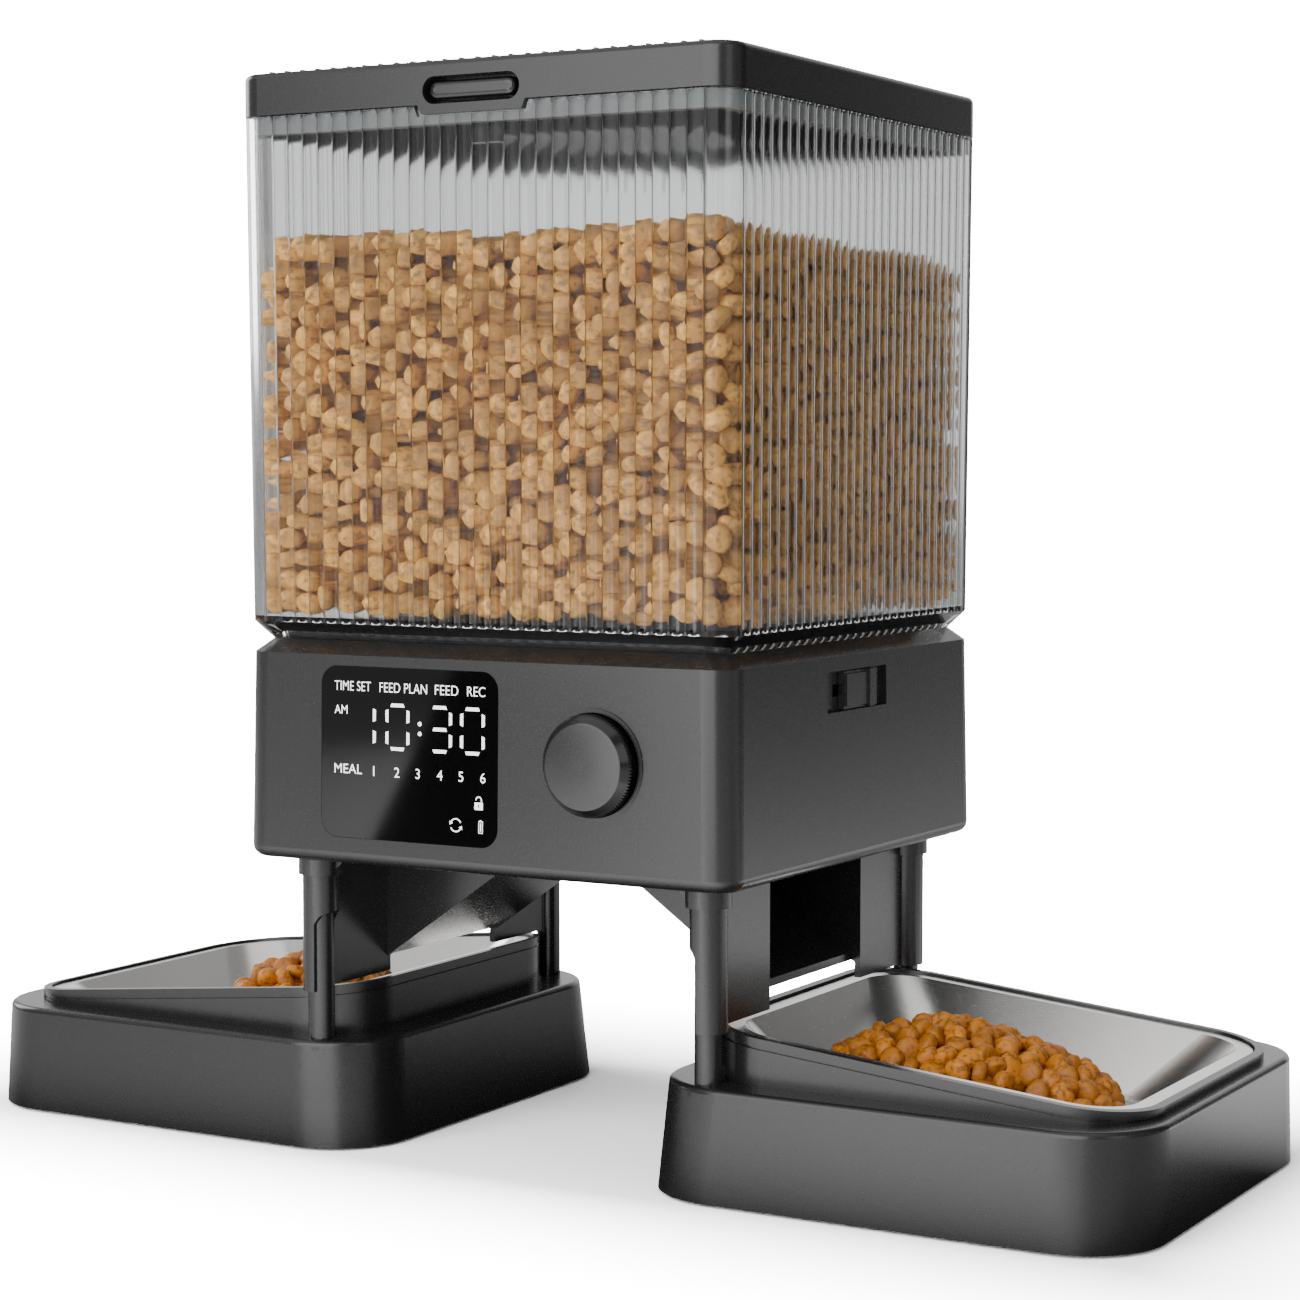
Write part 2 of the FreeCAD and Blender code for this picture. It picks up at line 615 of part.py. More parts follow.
# ---------------------------------------------------------------- feed wheel and drive
def gear(teeth, x, y, z, tooth_angle, bore_r):
    """Involute spur gear with stub teeth; tooth_angle points the middle of one tooth."""
    pressure = math.radians(25)
    pitch_r = gear_module * teeth / 2
    base_r = pitch_r * math.cos(pressure)
    tip_r = pitch_r + 0.8 * gear_module
    root_r = pitch_r - 1.05 * gear_module
    half_tooth = math.pi / (2 * teeth) * 0.94
    lead = math.tan(pressure) - pressure

    def half_angle(radius):
        a = math.acos(min(1.0, base_r / radius))
        return half_tooth + lead - (math.tan(a) - a)

    radii = [max(base_r, root_r) + (tip_r - max(base_r, root_r)) * k / 3 for k in range(4)]
    outline = []
    for t in range(teeth):
        mid = math.radians(tooth_angle) + 2 * math.pi * t / teeth
        flank = [(root_r, half_angle(radii[0]))] + [(r, half_angle(r)) for r in radii]
        for r, a in flank:
            outline.append(V(x + r * math.cos(mid - a), y + r * math.sin(mid - a), z))
        for r, a in reversed(flank):
            outline.append(V(x + r * math.cos(mid + a), y + r * math.sin(mid + a), z))
    clean = [outline[0]]
    for p in outline[1:]:
        if (p - clean[-1]).Length > 0.001:
            clean.append(p)
    return prism(clean, V(0, 0, gear_t)).cut(rod(bore_r, x, y, z - 1, z + gear_t + 1))


def spacing(teeth_a, teeth_b):
    return gear_module * (teeth_a + teeth_b) / 2


idler_1_y = spacing(teeth_drive, teeth_small)
idler_2_y = idler_1_y + spacing(teeth_idler_1, teeth_small)
motor_y = idler_2_y + spacing(teeth_idler_2, teeth_small)
level_a = floor_under - 6.5       # the top gears, then two lower levels
level_b = level_a - gear_t - 1
level_c = level_b - gear_t - 1
tray_z = level_c - 2.0


def drive_parts():
    half_step = 180 / teeth_small
    drive = gear(teeth_drive, 0, 0, level_a, 90, shaft_r)
    bore = axle_r + press_gap
    small_1 = gear(teeth_small, 0, idler_1_y, level_a, -90 + half_step, bore)
    large_1 = gear(teeth_idler_1, 0, idler_1_y, level_b, 90, bore)
    hub_1 = tube(4.0, bore, 0, idler_1_y, level_b + gear_t, level_a)
    small_2 = gear(teeth_small, 0, idler_2_y, level_b, -90 + half_step, bore)
    large_2 = gear(teeth_idler_2, 0, idler_2_y, level_c, 90, bore)
    hub_2 = tube(4.0, bore, 0, idler_2_y, level_c + gear_t, level_b)
    pinion = gear(teeth_small, 0, motor_y, level_c, -90 + half_step, motor_shaft_r)
    axles = Part.makeCompound([
        rod(axle_r, 0, idler_1_y, level_b - 0.3, floor_under),
        rod(axle_r, 0, idler_2_y, tray_z + 1.5, floor_under)])
    motor = joined(rod(motor_r, 0, motor_y, cup_floor_z, cup_floor_z + motor_h),
                   rod(3.0, 0, motor_y, cup_floor_z - 1.5, cup_floor_z + 0.5))
    motor_bore = motor_shaft_r + press_gap
    motor = motor.cut(rod(motor_bore, 0, motor_y, cup_floor_z - 2, cup_floor_z + 6))
    motor_shaft = rod(motor_shaft_r, 0, motor_y, level_c - 0.3, cup_floor_z + 5)
    motor_end = motor_y + 8
    cover_x = shaft_in - 1
    cover = box(-cover_x, cover_x, -18, motor_end, tray_z, floor_under)
    cover = cover.cut(box(-cover_x + 1.5, cover_x - 1.5, -16.5, motor_end - 1.5,
                          tray_z + 1.5, floor_under + 1))
    bushes = Part.makeCompound([
        joined(tube(6.0, shaft_r + press_gap, 0, 0, floor_under, cup_floor_z),
               tube(8.0, shaft_r + press_gap, 0, 0, cup_floor_z, cup_floor_z + 1)),
        tube(5.5, shaft_r + press_gap, 0, 0, tray_z + 1.5, tray_z + 5)])
    shaft = rod(shaft_r, 0, 0, tray_z + 1.8, cup_floor_z + cup_h + 5)
    return {"drive_gear": drive, "idler_gear_first": joined(small_1, large_1, hub_1),
            "idler_gear_second": joined(small_2, large_2, hub_2), "motor_pinion": pinion,
            "idler_axles": axles, "motor": motor, "motor_shaft": motor_shaft,
            "gearbox_cover": cover, "shaft_bushes": bushes, "rotor_shaft": shaft}


def rotor_parts():
    low = cup_floor_z + 1.4
    high = cup_floor_z + cup_h - 2.8
    hub = rod(8.0, 0, 0, low, high)
    arms = []
    for i in range(paddles):
        arm = box(6, rotor_r, -1.2, 1.2, low, high)
        arm.rotate(V(0, 0, 0), UP, 30 + 360 * i / paddles)
        arms.append(arm)
    wheel = joined(hub, *arms).common(rod(rotor_r, 0, 0, low, high))
    wheel = wheel.cut(rod(shaft_r, 0, 0, low - 1, high + 1))
    top = cup_floor_z + cup_h + 5
    arm_end = funnel_r - 6
    stir = [rod(6.5, 0, 0, high, top + 2), box(-arm_end, arm_end, -2.5, 2.5, top - 4, top)]
    for x in (-arm_end + 4, arm_end - 4):
        stir.append(rod(2.5, x, 0, top - 1, top + 11))
    stirrer = joined(*stir).cut(rod(shaft_r, 0, 0, high - 1, top))
    plate_x = body_half - 8
    plate = box(-plate_x, plate_x, -(cup_r + wall), body_half - 8, floor_under, cup_floor_z)
    cup = tube(cup_r + wall, cup_r, 0, 0, cup_floor_z - 0.5, cup_floor_z + cup_h)
    lip = tube(cup_r + wall, funnel_r + 3.2, 0, 0, cup_floor_z + cup_h - 2, cup_floor_z + cup_h)
    house = joined(plate, cup, lip)
    cuts = [rod(6.0, 0, 0, floor_under - 1, cup_floor_z + 1),
            rod(3.0, 0, motor_y, floor_under - 1, cup_floor_z + 1)]
    for sx in (-1, 1):
        x0, x1 = sorted((sx * (shaft_in + chute_wall + 0.5), sx * cup_r))
        hole = box(x0, x1, -cup_r + 10, cup_r - 10, floor_under - 1, cup_floor_z + 1)
        cuts.append(hole.common(rod(cup_r - 0.5, 0, 0, floor_under - 2, cup_floor_z + 2)))
        for sy in (-1, 1):
            cuts.append(rod(screw_r, sx * standoff_x, sy * standoff_y, floor_under - 1, cup_floor_z + 1))
            cuts.append(rod(post_r + 2, sx * post_x, sy * post_y, floor_under - 1, cup_floor_z + 1))
    screws = []
    for sx in (-1, 1):
        for sy in (-1, 1):
            x, y = sx * standoff_x, sy * standoff_y
            screws.append(joined(rod(screw_r, x, y, floor_under - 10, cup_floor_z + 0.5),
                                 rod(3.0, x, y, cup_floor_z, cup_floor_z + 2)))
    return {"feed_wheel": wheel, "stirrer": stirrer, "feed_housing": less(house, *cuts),
            "chassis_screws": Part.makeCompound(screws)}


# ---------------------------------------------------------------- chute brackets and posts
def ramp_under(x):
    return ramp_lip_z + (post_x - x) * slope


def chute_bracket():
    """Right-hand bracket: panel between two posts, their sleeves, and the sloping chute."""
    thick = chute_wall / math.cos(math.radians(ramp_angle)) + 0.6
    ramp_end = post_x - 2.5
    reach = chute_half + chute_wall
    panel = box(post_x - wall / 2, post_x + wall / 2, -post_y + post_r, post_y - post_r, panel_z, body_z)
    panel = panel.cut(box(post_x - wall, post_x + wall, -chute_half, chute_half, 0, body_z + 1))
    parts = [panel]
    cheek = [V(post_x, 0, ramp_under(post_x)), V(post_x, 0, body_z), V(shaft_out, 0, body_z),
             V(shaft_out, 0, floor_under), V(shaft_in, 0, floor_under),
             V(shaft_in, 0, ramp_under(shaft_in))]
    for y in (-reach, chute_half):
        side = prism([p + V(0, y, 0) for p in cheek], V(0, chute_wall, 0))
        parts.append(side)
    ramp = prism([V(shaft_in, -reach, ramp_under(shaft_in)), V(ramp_end, -reach, ramp_under(ramp_end)),
                  V(ramp_end, -reach, ramp_under(ramp_end) + thick),
                  V(shaft_in, -reach, ramp_under(shaft_in) + thick)], V(0, 2 * reach, 0))
    inner = box(shaft_in, shaft_in + chute_wall, -reach, reach, ramp_under(shaft_in), floor_under)
    outer = box(shaft_out - chute_wall, shaft_out, -reach, reach, body_z, floor_under)
    parts += [ramp, inner, outer]
    cut_away = []
    for sy in (-1, 1):
        y = sy * post_y
        sleeve = rod(sleeve_r, post_x, y, sleeve_z, body_z - collar_h + 0.5)
        collar = rod(collar_r, post_x, y, body_z - collar_h, body_z)
        root = post_x - post_r
        brace = prism([V(root, y - 1.5, body_z), V(root - brace_len, y - 1.5, body_z),
                       V(root, y - 1.5, body_z - brace_len)], V(0, 3, 0))
        parts += [sleeve, collar, brace]
        seam = post_x - 1.5
        cut_away.append(prism([V(seam, y - 9, sleeve_z - 1), V(seam, y - 9, 86), V(seam - 2, y - 9, 89),
                               V(post_x - 9, y - 9, 92), V(post_x - 9, y - 9, sleeve_z - 1)],
                              V(0, 18, 0)))
        cut_away.append(rod(post_r + press_gap, post_x, y, sleeve_z - 1, body_z + 1))
    bracket = joined(*parts)
    return less(bracket, *cut_away)


def posts():
    made = {}
    for side, sx in (("left", -1), ("right", 1)):
        for end, sy in (("front", -1), ("rear", 1)):
            post = rod(post_r, sx * post_x, sy * post_y, base_top - 18, body_z + 8)
            made["post_%s_%s" % (end, side)] = post.cut(
                rod(2.0, sx * post_x, sy * post_y, base_top - 19, base_top - 4))
    return made


# ---------------------------------------------------------------- bowl bases
def tilted(shape):
    """Place a shape made about the rim's own middle onto the tilted rim plane."""
    moved = shape.copy()
    moved.rotate(V(0, 0, 0), V(0, 1, 0), ring_tilt)
    moved.translate(V(ring_x, 0, ring_mid_z))
    return moved


def slab(low, high):
    return tilted(Part.makeBox(400, 400, high - low, V(-200, -200, low)))


def ring_block(shrink, z0, z1):
    return block(ring_x, 0, ring_len / 2 - shrink, ring_half - shrink, ring_corner_r - shrink, z0, z1)


def base_section(inset, z):
    """Outline of the base at height z, its inner side and ends leaning in, its outer side upright."""
    lean = base_lean * (z - base_z) / (base_top - base_z)
    x0 = base_x0 + lean + inset
    x1 = base_x0 + base_len - inset
    return ((x0 + x1) / 2, 0, (x1 - x0) / 2, base_half - lean - inset, base_corner_r - inset, z)


def base_shell():
    shell = frustum(base_section(0, base_z), base_section(0, base_top))
    upper = edges_at(shell, lambda p: abs(p.z - base_top) < 0.01)
    shell = shell.makeFillet(base_edge_r, upper)
    hollow = frustum(base_section(wall, base_z - 0.01), base_section(wall, base_top - wall))
    shell = shell.cut(hollow)
    upright = ring_block(0, base_top - wall, 90).common(slab(-90, 0))
    ledge = ring_block(ring_t - 0.5, 20, 90).common(slab(-flange_drop - bowl_t - ledge_t,
                                                         -flange_drop - bowl_t))
    shell = shell.cut(ring_block(ring_t, base_top - wall - 1, base_top + 1))
    ring = less(upright, ring_block(ring_t, 0, 100))
    inner_ledge = ledge.cut(ring_block(ring_t + ledge_w, 0, 100))
    shadow = ring_block(-2, 20, 90).cut(ring_block(0.8, 10, 100)).common(slab(-4.0, -3.0))
    ring = less(ring, shadow)
    parts = [shell, ring, inner_ledge]
    for sy in (-1, 1):
        parts.append(rod(8.5, post_x, sy * post_y, base_top - 22, base_top - wall + 0.2))
    for x, y in base_screw_places():
        parts.append(rod(4.0, x, y, base_z + wall, base_top - wall + 0.2))
    whole = joined(*parts)
    cuts = []
    for sy in (-1, 1):
        cuts.append(rod(post_r + press_gap, post_x, sy * post_y, base_top - 18, base_top + 1))
        cuts.append(rod(2.0, post_x, sy * post_y, base_top - 23, base_top - 17))
    for x, y in base_screw_places():
        cuts.append(rod(screw_r, x, y, base_z, base_z + 14))
    return less(whole, *cuts)


def base_screw_places():
    """Four screw bosses between the bowl ring and the base's side."""
    places = []
    for x in (base_x0 + 11.5, base_x0 + base_len - 60):
        for sy in (-1, 1):
            y = 40 if x < ring_x - 60 else base_half - 10.5
            places.append((x, sy * y))
    return places


def base_parts(sx):
    place = (lambda s: s) if sx > 0 else mirrored
    shell = base_shell()
    plate = frustum(base_section(wall + 0.2, base_z), base_section(wall + 0.2, base_z + wall))
    holes = [rod(screw_r, x, y, base_z - 1, base_z + wall + 1) for x, y in base_screw_places()]
    heads = [rod(3.0, x, y, base_z - 1, base_z + 1.2) for x, y in base_screw_places()]
    feet = []
    foot_seats = []
    for fx in (base_x0 + foot_in, base_x0 + base_len - foot_in):
        for sy in (-1, 1):
            fy = sy * (base_half - foot_in)
            feet.append(rod(foot_r, fx, fy, 0, base_z + 0.8))
            foot_seats.append(rod(foot_r, fx, fy, base_z - 1, base_z + 0.8))
    plate = less(plate, *holes, *heads, *foot_seats)
    screws = [joined(rod(2.9, x, y, base_z + 0.1, base_z + 1.2), rod(screw_r, x, y, base_z + 1, base_z + 12))
              for x, y in base_screw_places()]
    rests = [joined(rod(4.0, post_x, sy * post_y, base_top - 25, base_top - 22),
                    rod(2.0, post_x, sy * post_y, base_top - 22.5, base_top - 8)) for sy in (-1, 1)]
    return {"base": place(shell), "plate": place(plate), "feet": [place(f) for f in feet],
            "screws": [place(s) for s in screws], "rests": [place(s) for s in rests]}


def bowl():
    """Pressed steel bowl in the rim plane's frame: flat flange, sloping walls, rounded floor."""
    stretch = 1 / math.cos(math.radians(ring_tilt))
    hx = (ring_len / 2 - ring_t - fit_gap) * stretch - 0.4
    hy = ring_half - ring_t - fit_gap
    r = ring_corner_r - ring_t - fit_gap
    top = -flange_drop
    flange = block(0, 0, hx, hy, r, top - bowl_t, top)
    mouth = ledge_w + 0.9
    deep = top - bowl_depth
    floor_r = r - mouth + 4

    def dish(shrink, z_top, z_low):
        upper = (0, 0, hx - mouth - shrink, hy - mouth - shrink, r - mouth - shrink / 2, z_top)
        lower = (0, 0, hx - mouth - bowl_slope_in - shrink, hy - mouth - bowl_slope_in - shrink,
                 floor_r - shrink, z_low)
        return frustum(upper, lower)

    outside = dish(0, top - bowl_t / 2, deep - bowl_t)
    low_edge = edges_at(outside, lambda p: abs(p.z - deep + bowl_t) < 0.01)
    outside = outside.makeFillet(7.0, low_edge)
    inside = dish(bowl_t, top + 0.01, deep)
    low_edge = edges_at(inside, lambda p: abs(p.z - deep) < 0.01)
    inside = inside.makeFillet(6.2, low_edge)
    return tilted(joined(flange, outside).cut(inside))


# ---------------------------------------------------------------- electrical pieces
def electrical_parts():
    seat = body_half - jack_sink
    socket = joined(rod_y(jack_r, jack_x, seat - 11, seat, jack_z),
                    rod_y(jack_flange_r, jack_x, seat, seat + 1.4, jack_z))
    socket = socket.cut(rod_y(2.8, jack_x, seat - 9, seat + 2, jack_z))
    socket = joined(socket, rod_y(1.0, jack_x, seat - 9.5, seat - 0.5, jack_z))
    cone = joined(rod(speaker_r, speaker_x, speaker_y, plate_top, plate_top + 2.4),
                  rod(speaker_r - 7, speaker_x, speaker_y, plate_top + 2, plate_top + 9))
    return {"power_socket": socket, "speaker": cone}


def build():
    parts = {"body_shell": body_shell(), "body_bottom": body_bottom(),
             "hopper_tank": hopper_tank(), "hopper_funnel": hopper_funnel(),
             "lid_cover": lid_cover()}
    for group in (battery_parts(), display_parts(), knob_parts(), latch_parts(), lid_small_parts(),
                  slider_parts(), drive_parts(), rotor_parts(), posts(), electrical_parts()):
        parts.update(group)
    bracket = chute_bracket()
    parts["chute_bracket_right"] = bracket
    parts["chute_bracket_left"] = mirrored(bracket)
    dish = bowl()
    parts["bowl_right"] = dish
    parts["bowl_left"] = mirrored(dish)
    feet, screws, rests = [], [], []
    for side, sx in (("left", -1), ("right", 1)):
        made = base_parts(sx)
        parts["base_%s" % side] = made["base"]
        parts["base_plate_%s" % side] = made["plate"]
        feet += made["feet"]
        screws += made["screws"]
        rests += made["rests"]
    parts["rubber_feet"] = Part.makeCompound(feet)
    parts["base_screws"] = Part.makeCompound(screws)
    parts["post_screws"] = Part.makeCompound(rests)
    return parts


os.makedirs("parts", exist_ok=True)
for name, shape in build().items():
    shape.exportStep("parts/%s.step" % name)
    print("%-22s solids %2d  valid %s  volume %10.1f"
          % (name, len(shape.Solids), shape.isValid(), shape.Volume))
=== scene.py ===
"""Looks of a two-bowl automatic pet feeder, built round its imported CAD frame."""
import json
import math

import bmesh
import bpy
from mathutils import Matrix, Vector

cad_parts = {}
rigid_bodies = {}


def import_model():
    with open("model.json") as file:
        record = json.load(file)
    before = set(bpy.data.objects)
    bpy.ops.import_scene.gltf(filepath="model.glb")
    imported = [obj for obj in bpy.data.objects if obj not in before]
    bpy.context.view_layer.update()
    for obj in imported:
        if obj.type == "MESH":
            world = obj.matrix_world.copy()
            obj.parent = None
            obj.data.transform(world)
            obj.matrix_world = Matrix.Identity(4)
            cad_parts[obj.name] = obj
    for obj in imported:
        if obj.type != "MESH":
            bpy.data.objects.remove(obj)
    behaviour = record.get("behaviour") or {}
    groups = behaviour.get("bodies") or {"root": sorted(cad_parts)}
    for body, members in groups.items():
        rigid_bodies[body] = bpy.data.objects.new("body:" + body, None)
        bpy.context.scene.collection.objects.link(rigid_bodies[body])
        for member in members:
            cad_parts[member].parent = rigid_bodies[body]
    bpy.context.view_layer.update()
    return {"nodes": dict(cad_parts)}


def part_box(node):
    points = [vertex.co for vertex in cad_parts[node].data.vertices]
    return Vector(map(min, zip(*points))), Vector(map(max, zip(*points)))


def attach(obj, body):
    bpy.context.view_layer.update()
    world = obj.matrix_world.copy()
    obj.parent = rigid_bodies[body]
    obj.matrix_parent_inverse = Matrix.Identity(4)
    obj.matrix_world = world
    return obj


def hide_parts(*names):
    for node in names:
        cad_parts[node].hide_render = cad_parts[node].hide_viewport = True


bl_info = {
    "name": "Pet Feeder Looks",
    "version": (1, 0, 0),
    "blender": (4, 5, 0),
    "location": "3D View > Sidebar > Feeder",
    "description": "Reeded hopper, dry food, display, knob and finishes of a pet feeder",
    "category": "Object",
}

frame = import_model()
MM = 0.001


# ------------------------------------------------------------------ sizes a user would change
def length(name, text, millimetres):
    return bpy.props.FloatProperty(name=name, description=text, default=millimetres * MM,
                                   unit="LENGTH", subtype="DISTANCE", precision=5)


def watts(name, text, power):
    return bpy.props.FloatProperty(name=name, description=text, default=power, min=0.0, unit="POWER")


def amount(name, text, value):
    return bpy.props.FloatProperty(name=name, description=text, default=value, min=0.0)


def colour(name, text, code):
    return bpy.props.FloatVectorProperty(name=name, description=text, default=linear(code)[:3],
                                         size=3, min=0.0, max=1.0, subtype="COLOR")


def linear(code):
    """Linear RGBA of an sRGB hex colour."""
    parts = [int(code[i:i + 2], 16) / 255 for i in (1, 3, 5)]
    return tuple(c / 12.92 if c <= 0.04045 else ((c + 0.055) / 1.055) ** 2.4 for c in parts) + (1.0,)


class FeederTank(bpy.types.PropertyGroup):
    """Sizes of the clear hopper; its place comes from the frame."""
    reed_pitch: length("Reed pitch", "Width of one reed of the wall", 6.8)
    reed_depth: length("Reed depth", "Depth of the valley between two reeds", 0.38)
    wall: length("Wall", "Thickness of the wall", 2.4)
    foot_half: length("Foot half width", "Half width at the foot of the upright wall", 103.8)
    rim_half: length("Rim half width", "Half width at the rim", 105.0)
    corner: length("Corner radius", "Radius of the upright corners", 10.5)
    bevel: length("Bevel height", "Height of the bevel under the wall", 6.6)
    seat_half: length("Seat half width", "Half width where the hopper sits on the body", 97.7)
    mouth_half: length("Mouth half width", "Half width of the opening over the funnel", 93.7)
    notch_half: length("Notch half width", "Half width of the notch for the lid's tongue", 23.6)
    notch_drop: length("Notch depth", "Depth of the notch for the lid's tongue", 3.7)
    # the black keys are painted shadow: dark wedges where each valley's end shows a shadowed gap
    mark: length("Reed end mark", "Height of the black key at each end of a valley", 1.8)


class FeederFood(bpy.types.PropertyGroup):
    """Sizes of the dry food."""
    pellet: length("Pellet", "Diameter of a pellet", 10.4)
    thick: bpy.props.FloatProperty(name="Thickness", description="Thickness over diameter",
                                   default=0.55, min=0.2, max=1.0)
    level: length("Level", "Height of the food over the floor, at the front", 345.5)
    fall: length("Fall", "How much lower the food lies at the back", 7.0)
    seed: bpy.props.IntProperty(name="Seed", description="Seed of the scatter", default=7)


class FeederKnob(bpy.types.PropertyGroup):
    """Sizes of the control knob; its place comes from the frame."""
    teeth: bpy.props.IntProperty(name="Teeth", description="Teeth of the straight knurl", default=96)
    tooth: length("Tooth height", "Height of one tooth", 0.8)
    face: length("Face radius", "Radius of the flat front face", 15.25)
    grip: length("Grip height", "Height of the knurled grip over the front panel", 4.4)


class FeederStudio(bpy.types.PropertyGroup):
    """Light of the studio."""
    key: watts("Key", "Power of the soft box in front", 36.0)
    left: watts("Left", "Power of the soft box on the left", 20.0)
    haze: watts("Haze", "Power of the weak front box that the hopper's wall does mirror", 9.0)
    food: watts("Food", "Power of the box that lights the stored food only", 210.0)
    fill: watts("Fill", "Power of the soft box on the right", 5.0)
    top: watts("Top", "Power of the soft box overhead", 15.0)
    room: amount("Room", "Brightness of the dim room", 0.28)
    backdrop: amount("Backdrop", "Brightness of the white backdrop", 1.35)
    bounce: amount("Bounce", "Glow of the bounce sheet in front", 2.6)
    # less whiteness by the feeder than far off paints shade round its bases
    floor_near: amount("Floor near", "Whiteness of the floor by the feeder", 2.8)
    floor_far: amount("Floor far", "Whiteness of the floor far off", 75.0)


class FeederColours(bpy.types.PropertyGroup):
    """Colours of the main finishes."""
    casing: colour("Casing", "Moulded black of the casing", "#1C1C1D")
    # the hopper's paler, greyer brown is painted light: it stands for the pale veil the clear wall mirrors
    # over the food
    food: colour("Food", "Baked brown of the pellets in the hopper", "#CB9346")
    served: colour("Served food", "Baked brown of the pellets in the bowls", "#BC7214")
    print_white: colour("Legend", "Lit legends of the display", "#FFFFFF")


def sizes(group):
    return getattr(bpy.context.scene, group)


# ------------------------------------------------------------------ small makers
def plug(tree, made, inputs):
    """Set a node's inputs, each to a value or to another node's output."""
    for key, value in inputs.items():
        if isinstance(value, bpy.types.NodeSocket):
            tree.links.new(value, made.inputs[key])
        else:
            made.inputs[key].default_value = value


def node(tree, kind, inputs=None, **settings):
    """Add one node with its settings and its inputs."""
    made = tree.nodes.new(kind)
    for name, value in settings.items():
        setattr(made, name, value)
    plug(tree, made, inputs or {})
    return made


def maths(tree, operation, *values):
    """Result of a sum over numbers and outputs of other nodes."""
    return node(tree, "ShaderNodeMath", dict(enumerate(values)), operation=operation).outputs[0]


def vectors(tree, operation, *values):
    """Result of a vector sum over vectors and outputs of other nodes."""
    return node(tree, "ShaderNodeVectorMath", dict(enumerate(values)), operation=operation)


def placed(name, data):
    """New object in the scene."""
    made = bpy.data.objects.new(name, data)
    bpy.context.scene.collection.objects.link(made)
    return made


def mesh_object(name, points, faces, smooth=True):
    mesh = bpy.data.meshes.new(name)
    mesh.from_pydata(points, [], faces)
    mesh.validate()
    mesh.update()
    made = placed(name, mesh)
    if smooth:
        mesh.shade_smooth()
    return made


def lofted(rings, closed_ends=False):
    """Points and faces of a skin through rings of equal length, each a closed loop."""
    count = len(rings[0])
    points = [p for ring in rings for p in ring]
    faces = []
    for i in range(len(rings) - 1):
        for j in range(count):
            k = (j + 1) % count
            faces.append((i * count + j, i * count + k, (i + 1) * count + k, (i + 1) * count + j))
    if closed_ends:
        faces.append(tuple(range(count))[::-1])
        faces.append(tuple(range((len(rings) - 1) * count, len(rings) * count)))
    return points, faces


def crease(made, degrees=35.0):
    """Smooth shading, broken at edges sharper than the angle."""
    made.data.shade_smooth()
    made.data.set_sharp_from_angle(angle=math.radians(degrees))


def outward(made):
    """Merge doubles and point every face of a closed mesh outwards."""
    work = bmesh.new()
    work.from_mesh(made.data)
    bmesh.ops.remove_doubles(work, verts=work.verts, dist=1e-6)
    bmesh.ops.recalc_face_normals(work, faces=work.faces)
    work.to_mesh(made.data)
    work.free()
    made.data.update()


def merged(name, parts):
    """One mesh object from several, which are removed."""
    work = bmesh.new()
    for part in parts:
        work.from_mesh(part.data)
        bpy.data.objects.remove(part)
    mesh = bpy.data.meshes.new(name)
    work.to_mesh(mesh)
    work.free()
    return placed(name, mesh)


def settled(made, name):
    """The plain mesh that an object's modifiers give, as a new object; the old one is removed."""
    graph = bpy.context.evaluated_depsgraph_get()
    mesh = bpy.data.meshes.new_from_object(made.evaluated_get(graph), depsgraph=graph,
                                           preserve_all_data_layers=True)
    mesh.name = name
    bpy.data.objects.remove(made)
    return placed(name, mesh)


def finished(made, material, body, replaced=()):
    """Dress a piece in its material, and tell the frame where it belongs."""
    made.data.materials.clear()
    made.data.materials.append(material)
    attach(made, body)
    if replaced:
        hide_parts(*replaced)
    return made


def rounded_ring(half, radius, z, steps):
    """Closed ring of points round a rounded square, anticlockwise seen from above."""
    ring = []
    for sx, sy, start in ((1, -1, -90), (1, 1, 0), (-1, 1, 90), (-1, -1, 180)):
        for i in range(steps + 1):
            turn = math.radians(start + 90 * i / steps)
            ring.append((sx * (half - radius) + radius * math.cos(turn),
                         sy * (half - radius) + radius * math.sin(turn), z))
    return ring


# ------------------------------------------------------------------ finishes
def new_material(name):
    material = bpy.data.materials.new(name)
    material.use_nodes = True
    tree = material.node_tree
    tree.nodes.clear()
    output = node(tree, "ShaderNodeOutputMaterial")
    shader = node(tree, "ShaderNodeBsdfPrincipled")
    tree.links.new(shader.outputs[0], output.inputs[0])
    place = node(tree, "ShaderNodeTexCoord").outputs["Object"]
    return material, tree, shader, place


def mixed(tree, share, low, high):
    """A colour between two, by a share from 0 to 1."""
    return node(tree, "ShaderNodeMix", {0: share, 6: low, 7: high}, data_type="RGBA").outputs[2]


def grain(tree, place, size_mm, detail=2.0):
    """Noise whose grains are about this size."""
    return node(tree, "ShaderNodeTexNoise",
                {"Vector": place, "Scale": 1.0 / (size_mm * MM * 2.0), "Detail": detail}).outputs[0]


def bumped(tree, height, depth_mm, strength):
    return node(tree, "ShaderNodeBump",
                {"Height": height, "Distance": depth_mm * MM, "Strength": strength}).outputs[0]


def ranged(tree, value, low, high, start=0.0, end=1.0):
    """A value that goes from low to high while the given one goes from start to end."""
    return node(tree, "ShaderNodeMapRange", {"Value": value, "From Min": start, "From Max": end,
                                             "To Min": low, "To Max": high}).outputs[0]


def opaque(rgb):
    return tuple(rgb) + (1.0,)


def swapped(tree, ray, usual, other):
    """Show another shader to one kind of ray."""
    path = node(tree, "ShaderNodeLightPath").outputs[ray]
    swap = node(tree, "ShaderNodeMixShader", {0: path, 1: usual.outputs[0], 2: other.outputs[0]})
    tree.links.new(swap.outputs[0], tree.nodes["Material Output"].inputs[0])


